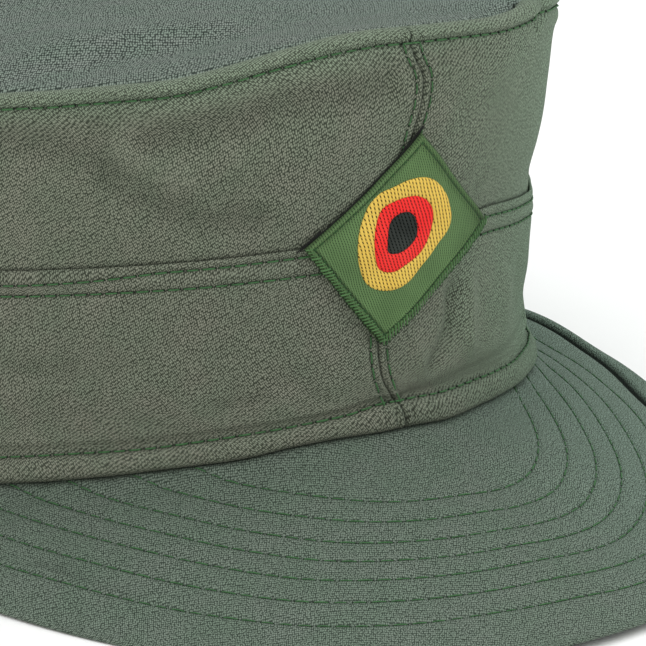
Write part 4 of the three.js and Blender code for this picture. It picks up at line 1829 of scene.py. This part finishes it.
    def quilting(self, edge: Array, angle: Array) -> Array:
        """Grooves of the stitch rows.

        Args:
            edge: Distance from the outline.
            angle: Angle from the front.

        Returns:
            The height, below 0 in the grooves.
        """
        past = edge[..., None] - self.row_places(angle)
        relief = -1.4 * self.far_side(angle) * hill(past[..., 0] / 0.9)
        for index in range(len(self.row_depths)):
            relief = relief - (0.34 if index == 0 else 0.26) * hill(past[..., index] / 0.55)
        return relief

    def shade(self, edge: Array, distance: Array, angle: Array) -> Array:
        """Painted shade in the stitch rows, in the deep outer groove on the wearer's left, along a faint
        crease on the wearer's right and near the hem, where the crown shades the peak.

        Args:
            edge: Distance from the outline.
            distance: Distance from the base line.
            angle: Angle from the front.

        Returns:
            The shade at each place.
        """
        # Painted shade near the hem, where the crown shades the peak.
        tone = -0.12 * hill(np.maximum(distance, 0) / 0.8) - 0.1 * hill(np.maximum(distance, 0) / 9)
        past = edge[..., None] - self.row_places(angle)
        # Painted shadow in the deep outer groove on the wearer's left, and painted shade in the groove of
        # every row.
        tone = tone - 2.4 * self.far_side(angle) * hill(past[..., 0] / 0.65)
        tone = tone - 0.2 * hill(past / 0.32).sum(axis=-1)
        degrees = np.degrees(angle)
        # Painted shade of a faint crease just inside the outer row on the wearer's right; the plate has no
        # relief there.
        beside = through([-50, -38], [2.0, 1.0], degrees)
        crease_shade_span = smoothstep(-54, -48, degrees) * (1 - smoothstep(-40, -35, degrees))
        return tone - 0.28 * crease_shade_span * hill((past[..., 0] - beside) / 0.35)

    def skin(self) -> Skin:
        """Closed skin of the peak.

        Returns:
            The skin.
        """
        angle = np.radians(np.linspace(-self.END, self.END, 560))
        offsets = np.array([1.5, 0.9, 0.6, 0.35, 0.15, -0.15, -0.35, -0.6, -0.9, -1.5])
        inner = np.linspace(self.reach + 6, self.row_depths[-1] + 3, 14)
        lines = [depth + offsets for depth in reversed(self.row_depths)]
        rim = np.linspace(self.margin - 3, self.rim_soft + 0.1, 9)
        straight = np.concatenate([inner, *lines, rim])
        followed = len(inner) + len(lines) * len(offsets)
        follow = np.concatenate([np.ones(followed), np.linspace(0.8, 0, len(rim))])
        outer = np.arange(len(straight)) >= len(straight) - len(rim) - len(offsets)
        stray = self.row_places(angle)[:, :1] - self.row_depths[0] - self.drift(angle)[:, None]
        depths = straight + follow * (self.drift(angle)[:, None] + outer * stray)
        base, flat, reach = self.rays(angle)
        distance = self.crossings(angle, depths)
        ended = smoothstep(self.TAPER[0], self.END, np.abs(np.degrees(angle)))[:, None]
        around = np.linspace(0, math.pi, 9)[None, 1:]
        soft = np.minimum(self.rim_soft, reach * 0.5)[:, None]
        curve = reach[:, None] - soft + soft * np.sin(around)
        distance = np.minimum(distance, reach[:, None] - soft)
        below = np.linspace(1, 0, 22)[None, 1:] ** 1.6 * (reach[:, None] - soft + self.under) - self.under
        whole = np.concatenate([distance, curve, below], axis=1)
        place = base[:, None, :2] + flat[:, None, :] * whole[..., None]
        away = np.maximum(reach[:, None] - below, 0)
        rounded = np.broadcast_to(soft - soft * np.sin(around), curve.shape)
        edge = np.concatenate([depths, rounded, away], axis=1)
        spread = np.broadcast_to(angle[:, None], whole.shape)
        upper = np.arange(whole.shape[1]) < distance.shape[1] + curve.shape[1]
        top = self.height(place, spread, whole, np.where(upper, edge, self.margin * 2))
        curl = self.height(place, spread, whole, edge) - top
        thick = self.thick + (self.end_thick - self.thick) * ended
        under = 2 * soft + (thick - 2 * soft) * smoothstep(0, self.rim_ease, away)
        fall = np.concatenate([np.zeros_like(distance), soft * (1 - np.cos(around)), under], axis=1)
        lowered = np.where(upper, top, top + curl * smoothstep(self.margin, 0, edge)) - fall
        rows = np.concatenate([place, lowered[..., None]], axis=-1)
        weave = np.concatenate([place, place[:, :1]], axis=1)
        weave[:, distance.shape[1]:-1, 1] -= np.cumsum(np.full(curve.shape[1] + below.shape[1], 0.4))
        shade = self.shade(edge, whole, spread) * (np.arange(whole.shape[1]) < distance.shape[1])
        return Skin(rows, weave, shade)

    def rows(self) -> list[Row]:
        """Lines of sewing along the outline.

        Returns:
            The rows, the inmost first.
        """
        angle = np.radians(np.linspace(-self.END, self.END, 500))
        base, flat, _ = self.rays(angle)
        depths = self.row_places(angle)[:, ::-1]
        distance = self.crossings(angle, depths)
        made = []
        for index in range(len(self.row_depths)):
            seen = distance[:, index] > 0.4
            place = base[seen, :2] + flat[seen] * distance[seen, index][:, None]
            height = self.height(place, angle[seen], distance[seen, index], depths[seen, index]) + 0.06
            away = np.tile([0.0, -0.36, 0.93], (seen.sum(), 1))
            made.append(Row(np.concatenate([place, height[:, None]], axis=1), away))
        return made

    def build(self, cloth: bpy.types.Material, thread: bpy.types.Material) -> list[bpy.types.Object]:
        """Makes the peak and its sewing.

        Args:
            cloth: Cloth of the peak.
            thread: Sewing thread.

        Returns:
            The pieces made.
        """
        piece = shown("peak_cloth", self.skin().mesh("peak", self.form), cloth)
        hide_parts("peak")
        sewing = Stitching(pitch=3.6, length=3.0, thread=0.3, arch=0.2, jitter=0.18, seed=9)
        return [piece, sewing.sew("peak_stitches", self.rows(), self.form, thread)]


@dataclass(frozen=True)
class Oval:
    """Irregular oval of the roundel.

    Attributes:
        node: Node of the frame that it takes the place of.
        slot: Its finish.
        across: Middle of the oval across the badge, in millimetres.
        up: Middle of the oval up the badge.
        reach: Distance from the middle to the edge at even turns.
    """

    node: str
    slot: str
    across: float
    up: float
    reach: tuple[float, ...]

    def radius(self, turn: Array) -> Array:
        """Reach of the oval at turns in radians, on a smooth closed curve.

        Args:
            turn: Turns in radians.

        Returns:
            The reach at each turn.
        """
        count = len(self.reach)
        turns = np.arange(-2, count + 3) / count * 2 * math.pi
        values = [self.reach[k % count] for k in range(-2, count + 3)]
        return through(list(turns), values, np.mod(turn, 2 * math.pi))

    def line(self, turn: Array) -> Array:
        """Places of the oval's edge at turns in radians."""
        reach = self.radius(turn)
        return np.stack([self.across + reach * np.cos(turn), self.up + reach * np.sin(turn)], axis=-1)


OVALS = (
    Oval("badge_gold_ring", "badge_gold", 2.0, -0.15,
         (10.8, 11.2, 11.0, 10.7, 10.2, 10.2, 11.5, 11.3, 11.3, 11.8, 12.3, 11.1, 9.4, 7.7, 7.5, 8.3)),
    Oval("badge_red_ring", "badge_red", 1.1, 0.05,
         (6.6, 7.4, 7.5, 7.2, 6.9, 7.1, 7.8, 7.2, 7.0, 7.4, 8.2, 7.5, 6.1, 5.6, 5.7, 6.0)),
    Oval("badge_black_centre", "badge_black", 0.45, 0.45,
         (3.5, 3.5, 3.8, 3.9, 3.8, 3.8, 3.8, 3.5, 3.4, 3.8, 4.6, 4.1, 3.6, 3.3, 3.3, 3.5)),
)


@dataclass
class Badge:
    """Square patch set on its corner over the crossing of the seams, with a woven roundel.

    Attributes:
        form: Shape of the cap.
        corners: Across and up of the top, left, bottom and right corner from the crossing, in millimetres.
        thick: Thickness of the patch.
        border: Width of the folded border.
        raised: Height of the woven ovals over the patch.
        side: Length of one side.
        sewn: Distance of the border's sewing from the edge.
        waves: Small unevenness of the cloth.
    """

    form: CapForm
    corners: tuple[tuple[float, float], ...] = ((4.5, 18.0), (25.2, -1.6), (-4.1, -21.2), (-19.6, 0.2))
    thick: float = 1.0
    border: float = 2.2
    raised: float = 0.34
    side: float = 32.0
    sewn: float = 1.5
    waves: Unevenness = Unevenness(41, 6, 18, 0.14)

    # Dark thread along the edge between the top and right corners, doubled at both ends: a painted shadow
    # line under that edge.
    CORD = (
        ((-0.004, 0.0), (-0.004, 0.99)), ((-0.014, -0.005), (-0.018, 0.13)), ((-0.016, 0.9), (-0.012, 1.02)),
    )

    def point(self, across: Array, up: Array, out: Array) -> Array:
        """Points over the front of the crown, from the crossing of the seams.

        Args:
            across: Distance across, in millimetres.
            up: Distance up.
            out: Distance from the crown.

        Returns:
            The points.
        """
        level = (self.form.seam_height + up) / self.form.crown_height
        ring = self.form.outline(level)
        share = across / (ring["wide"] * self.form.half_width)
        ahead = (1 - np.abs(share) ** ring["round"]) ** (1 / ring["round"])
        return self.form.point(np.arctan2(share, ahead), level, out, smooth=True)

    def place(self, s: Array, t: Array) -> tuple[Array, Array]:
        """Across and up of places given by shares along the patch's sides.

        Args:
            s: Share from the top corner toward the left one.
            t: Share from there toward the right one.

        Returns:
            The distances across and up.
        """
        top, left, bottom, right = (np.array(corner) for corner in self.corners)
        s, t = np.broadcast_arrays(s, t)
        upper = top + (left - top) * s[..., None]
        lower = right + (bottom - right) * s[..., None]
        both = upper + (lower - upper) * t[..., None]
        return both[..., 0], both[..., 1]

    def lift(self, s: Array, t: Array, border: bool) -> Array:
        """Height of the patch's face over the crown's cloth.

        Args:
            s: First share.
            t: Second share.
            border: Whether the folded border is counted.

        Returns:
            The height at each place.
        """
        edge = np.minimum(np.minimum(s, 1 - s), np.minimum(t, 1 - t)) * self.side
        rim = -0.75 * (1 - smoothstep(0, 0.7, edge))
        fold = 0.32 * (1 - smoothstep(self.border - 0.4, self.border + 0.3, edge))
        fold = fold - 0.22 * hill((edge - self.sewn) / 0.3)
        return self.form.gap + self.thick + (rim + fold if border else 0)

    def ground(self) -> Skin:
        """Closed skin of the green ground.

        Returns:
            The skin.
        """
        share = stations((0, 0.09, 0.006), (0.09, 0.91, 0.012), (0.91, 1, 0.006))
        s, t = np.meshgrid(share, share, indexing="ij")
        across, up = self.place(s, t)
        wobble = self.waves.at(across, up)
        face = self.point(across, up, self.lift(s, t, True) + wobble)
        back = self.point(across, up, np.full_like(across, self.form.gap - 0.25))
        rows = np.concatenate([face, back[:, ::-1]], axis=1)
        weave = np.stack([across, up], axis=-1)
        weave = np.concatenate([weave, weave[:, ::-1], weave[:, :1]], axis=1)
        edge = np.minimum(np.minimum(s, 1 - s), np.minimum(t, 1 - t)) * self.side
        # Painted shade in the border's sewing groove and along the patch's edge, a slightly darker folded
        # border, and painted shade toward the left corner and at its tip.
        dark = -0.55 * hill((edge - self.sewn) / 0.3) - 0.6 * hill(edge / 0.45)
        dark = dark - 0.08 * (1 - smoothstep(1.8, 2.6, edge))
        dark = dark - 0.1 * smoothstep(12, 20, across) - 0.3 * hill((across - 24) / 2.5, (up + 1.2) / 2.5)
        return Skin(rows, weave, np.concatenate([dark, np.zeros_like(dark)], axis=1))

    def oval(self, index: int) -> Skin:
        """Closed skin of one woven oval, with the next one's place left open.

        Args:
            index: Number of the oval, the largest first.

        Returns:
            The skin.
        """
        shape = OVALS[index]
        turn = np.linspace(0, 2 * math.pi, 120, endpoint=False)
        outer = shape.line(turn)
        open_inside = index + 1 < len(OVALS)
        if open_inside:
            inner = OVALS[index + 1].line(turn)
        else:
            inner = np.broadcast_to([shape.across, shape.up], outer.shape)
        share = np.array([0, 0.04, 0.1, 0.2, 0.35, 0.5, 0.65, 0.8, 0.9, 0.96, 1.0])
        flat = outer[:, None] + (inner - outer)[:, None] * share[None, :, None]
        edge = np.minimum(share, 1 - share) if open_inside else share
        dome = self.raised * (0.35 + 0.65 * smoothstep(0, 0.12, edge))
        base = self.form.gap + self.thick
        wobble = self.waves.at(flat[..., 0], flat[..., 1])
        face = self.point(flat[..., 0], flat[..., 1], base + dome[None, :] + wobble)
        back = self.point(flat[..., 0], flat[..., 1], base - 0.1 + wobble)
        rows = np.concatenate([face, back[:, ::-1]], axis=1)
        weave = np.concatenate([flat, flat[:, ::-1], flat[:, :1]], axis=1)
        weave = np.concatenate([weave, weave[:1]], axis=0)
        # Painted shade along the oval's edges, where it steps up from the cloth below.
        shade = np.concatenate([-0.3 * hill(edge / 0.02), np.zeros_like(share)])
        return Skin(rows, weave, np.broadcast_to(shade, rows.shape[:2]).copy(), ring=True)

    def border_row(self, start: tuple[float, float], end: tuple[float, float], lift: float) -> Row:
        """Line of sewing between two places given by shares along the patch's sides.

        Args:
            start: Shares where it starts.
            end: Shares where it ends.
            lift: Distance over the face.

        Returns:
            The row.
        """
        steps = np.linspace(0, 1, 60)
        s = start[0] + (end[0] - start[0]) * steps
        t = start[1] + (end[1] - start[1]) * steps
        across, up = self.place(s, t)
        wobble = self.waves.at(across, up)
        points = self.point(across, up, self.lift(s, t, True) + wobble + lift)
        level = (self.form.seam_height + up) / self.form.crown_height
        angle = np.arctan2(points[:, 0] / self.form.half_width, -points[:, 1] / self.form.half_length)
        return Row(points, self.form.outward(angle, level))

    def build(self, finishes: dict[str, bpy.types.Material]) -> list[bpy.types.Object]:
        """Makes the ground, the ovals, the sewing of the border and the dark thread of a painted shadow line
        along one edge.

        Args:
            finishes: Materials by their names.

        Returns:
            The pieces made.
        """
        patch = self.ground().mesh("badge_ground", self.form)
        ground = shown("badge_ground_cloth", patch, finishes["badge_green"])
        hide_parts("badge_ground")
        made = [ground]
        for index, shape in enumerate(OVALS):
            woven = self.oval(index).mesh(shape.node, self.form)
            piece = shown(shape.node + "_weave", woven, finishes[shape.slot])
            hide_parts(shape.node)
            made.append(piece)
        near, far = 0.047, 0.953
        corners = [(near, near), (far, near), (far, far), (near, far), (near, near)]
        running = [self.border_row(a, b, -0.02) for a, b in zip(corners, corners[1:])]
        sewing = Stitching(thread=0.3, pitch=1.7, length=1.4, arch=0.2, seed=10)
        made.append(sewing.sew("badge_border_stitches", running, self.form, finishes["badge_thread"]))
        low, high = 0.02, 0.98
        whip = [self.border_row(start, (high, high), 0.0) for start in ((high, low), (low, high))]
        whipping = Stitching(thread=0.36, pitch=0.78, length=2.2, arch=0.26, turn=58, jitter=0.2, seed=11)
        made.append(whipping.sew("badge_edge_stitches", whip, self.form, finishes["badge_edge_thread"]))
        # Near-black thread laid as the shadow line under the patch's edge between its top and right corners.
        shadow_rows = [self.border_row(start, end, -0.35) for start, end in self.CORD]
        shadow_sewing = Stitching(thread=0.32, pitch=1.7, length=2.3, arch=0.14, jitter=0.2, seed=12)
        made.append(shadow_sewing.sew("badge_edge_cord", shadow_rows, self.form, finishes["badge_cord"]))
        return made


@dataclass
class Studio:
    """Pale floor, soft lights and the camera at the photograph's angle.

    Attributes:
        azimuth: Degrees of the camera round the cap, 0 in front of it.
        elevation: Degrees of the camera over the floor.
        roll: Degrees that the camera is rolled.
        distance: Distance of the camera from its aim, in millimetres.
        aim: Place that the camera looks at, in millimetres.
        lens: Focal length on a 36 mm sensor.
    """

    azimuth: float = -34.6216684
    elevation: float = 19.0829469
    roll: float = -0.4560588
    distance: float = 903.088
    aim: tuple[float, float, float] = (35.5722903, 3.233053, 16.2385536)
    lens: float = 230.5636718266254

    def camera(self) -> bpy.types.Object:
        """Makes the scene's camera.

        Returns:
            The camera.
        """
        turn, rise, roll = (math.radians(v) for v in (self.azimuth, self.elevation, self.roll))
        back = Vector((math.sin(turn) * math.cos(rise), -math.cos(turn) * math.cos(rise), math.sin(rise)))
        right = Vector((math.cos(turn), math.sin(turn), 0))
        up = back.cross(right)
        across = right * math.cos(roll) + up * math.sin(roll)
        high = up * math.cos(roll) - right * math.sin(roll)
        place = (Vector(self.aim) + back * self.distance) * MM
        data = bpy.data.cameras.new("photo_camera")
        data.sensor_fit, data.sensor_width, data.lens = "HORIZONTAL", 36, self.lens
        data.clip_start, data.clip_end = 0.01, 100
        camera = bpy.data.objects.new("photo_camera", data)
        camera.matrix_world = Matrix.Translation(place) @ Matrix((across, high, back)).transposed().to_4x4()
        bpy.context.scene.collection.objects.link(camera)
        bpy.context.scene.camera = camera
        return camera

    def light(self, name: str, power: float, size: float, place: tuple[float, float, float],
              colour: tuple[float, float, float]) -> None:
        """Adds a soft square light that looks at the cap.

        Args:
            name: Name of the light.
            power: Power in watts.
            size: Side of the light in metres.
            place: Its place in metres.
            colour: Its colour.
        """
        data = bpy.data.lights.new(name, "AREA")
        data.energy, data.size, data.color = power, size, colour
        lamp = bpy.data.objects.new(name, data)
        lamp.location = place
        lamp.rotation_euler = (Vector((0, 0, 0.05)) - Vector(place)).to_track_quat("-Z", "Y").to_euler()
        bpy.context.scene.collection.objects.link(lamp)

    def build(self) -> None:
        """Makes the camera, the floor, the lights and the pale surroundings."""
        self.camera()
        mesh = bpy.data.meshes.new("floor")
        side = 6.0
        corners = [(-side, -side, 0), (side, -side, 0), (side, side, 0), (-side, side, 0)]
        mesh.from_pydata(corners, [], [(0, 1, 2, 3)])
        mesh.materials.append(FloorFinish().material())
        floor = bpy.data.objects.new("floor", mesh)
        bpy.context.scene.collection.objects.link(floor)
        self.light("overhead", 8, 1.6, (0.1, -0.1, 1.5), (0.95, 0.98, 1.0))
        self.light("right_front", 5, 0.9, (0.9, -0.9, 0.9), (0.97, 1.0, 0.97))
        self.light("left_fill", 4, 0.9, (-1.3, -0.5, 0.7), (1.0, 0.96, 0.88))
        world = bpy.data.worlds.new("pale_room")
        world.use_nodes = True
        background = world.node_tree.nodes["Background"]
        background.inputs["Color"].default_value = (0.96, 0.98, 1.0, 1)
        background.inputs["Strength"].default_value = 0.81
        bpy.context.scene.world = world
        bpy.context.scene.view_settings.view_transform = "Standard"


def finishes() -> dict[str, bpy.types.Material]:
    """Every finish of the cap by its name.

    Returns:
        The materials, by name.
    """
    cloths = (
        ClothFinish("crown_top_cloth",
                    rgb(134, 149, 135), rgb(26, 38, 30), rgb(140, 149, 139), rgb(136, 152, 140),
                    cell=(0.5, 1.6), turn=-34.6, relief=0.18),
        ClothFinish("upper_cloth",
                    rgb(134, 143, 123), rgb(50, 56, 45), rgb(142, 145, 128), rgb(140, 163, 137),
                    fresh_above=36.5),
        ClothFinish("lower_cloth",
                    rgb(135, 144, 125), rgb(50, 55, 44), rgb(144, 146, 130), rgb(136, 163, 135)),
        ClothFinish("peak_cloth", rgb(124, 141, 124), rgb(46, 56, 47), rgb(130, 142, 129), rgb(133, 154, 138),
                    cell=(0.34, 0.56), turn=-34),
        ClothFinish("badge_green", rgb(92, 120, 76), rgb(28, 46, 26), rgb(102, 132, 84), rgb(86, 114, 74),
                    cell=(0.6, 0.46), turn=-14, grain=Grain.RIBBON, sheen=0.0),
        ClothFinish("badge_gold", rgb(226, 187, 83), rgb(38, 28, 8), rgb(234, 198, 93), rgb(214, 179, 79),
                    cell=(0.87, 0.7), turn=-14, grain=Grain.RIBBON, relief=0.1, sheen=0.0),
        ClothFinish("badge_red", rgb(244, 42, 40), rgb(40, 4, 6), rgb(250, 60, 54), rgb(238, 42, 40),
                    cell=(0.87, 0.56), turn=-14, grain=Grain.RIBBON, relief=0.1, sheen=0.0),
        ClothFinish("badge_black", rgb(44, 48, 45), rgb(0, 0, 0), rgb(62, 66, 62), rgb(44, 48, 45),
                    cell=(0.9, 0.56), turn=-14, grain=Grain.RIBBON, relief=0.1, sheen=0.0, gloss=0.05),
    )
    threads = (
        ThreadFinish("sewing_thread", rgb(66, 110, 66), rgb(14, 26, 16)),
        ThreadFinish("badge_thread", rgb(48, 84, 44), rgb(14, 26, 14)),
        ThreadFinish("badge_edge_thread", rgb(84, 122, 74), rgb(18, 34, 18)),
        # Near-black thread colours of the painted shadow line on the badge.
        ThreadFinish("badge_cord", rgb(26, 28, 24), rgb(8, 9, 8)),
    )
    return {finish.name: finish.material() for finish in (*cloths, *threads)}


def main() -> None:
    """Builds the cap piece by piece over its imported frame, then the studio."""
    logging.basicConfig(level=logging.INFO, format="%(name)s: %(message)s")
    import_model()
    form, dress = CapForm(), finishes()
    Studio().build()
    LowerTier(form).build(dress["lower_cloth"], dress["sewing_thread"])
    UpperTier(form).build(dress["upper_cloth"], dress["sewing_thread"])
    TopPanel(form).build(dress["crown_top_cloth"])
    Peak(form).build(dress["peak_cloth"], dress["sewing_thread"])
    Badge(form).build(dress)


if __name__ == "__main__":
    main()
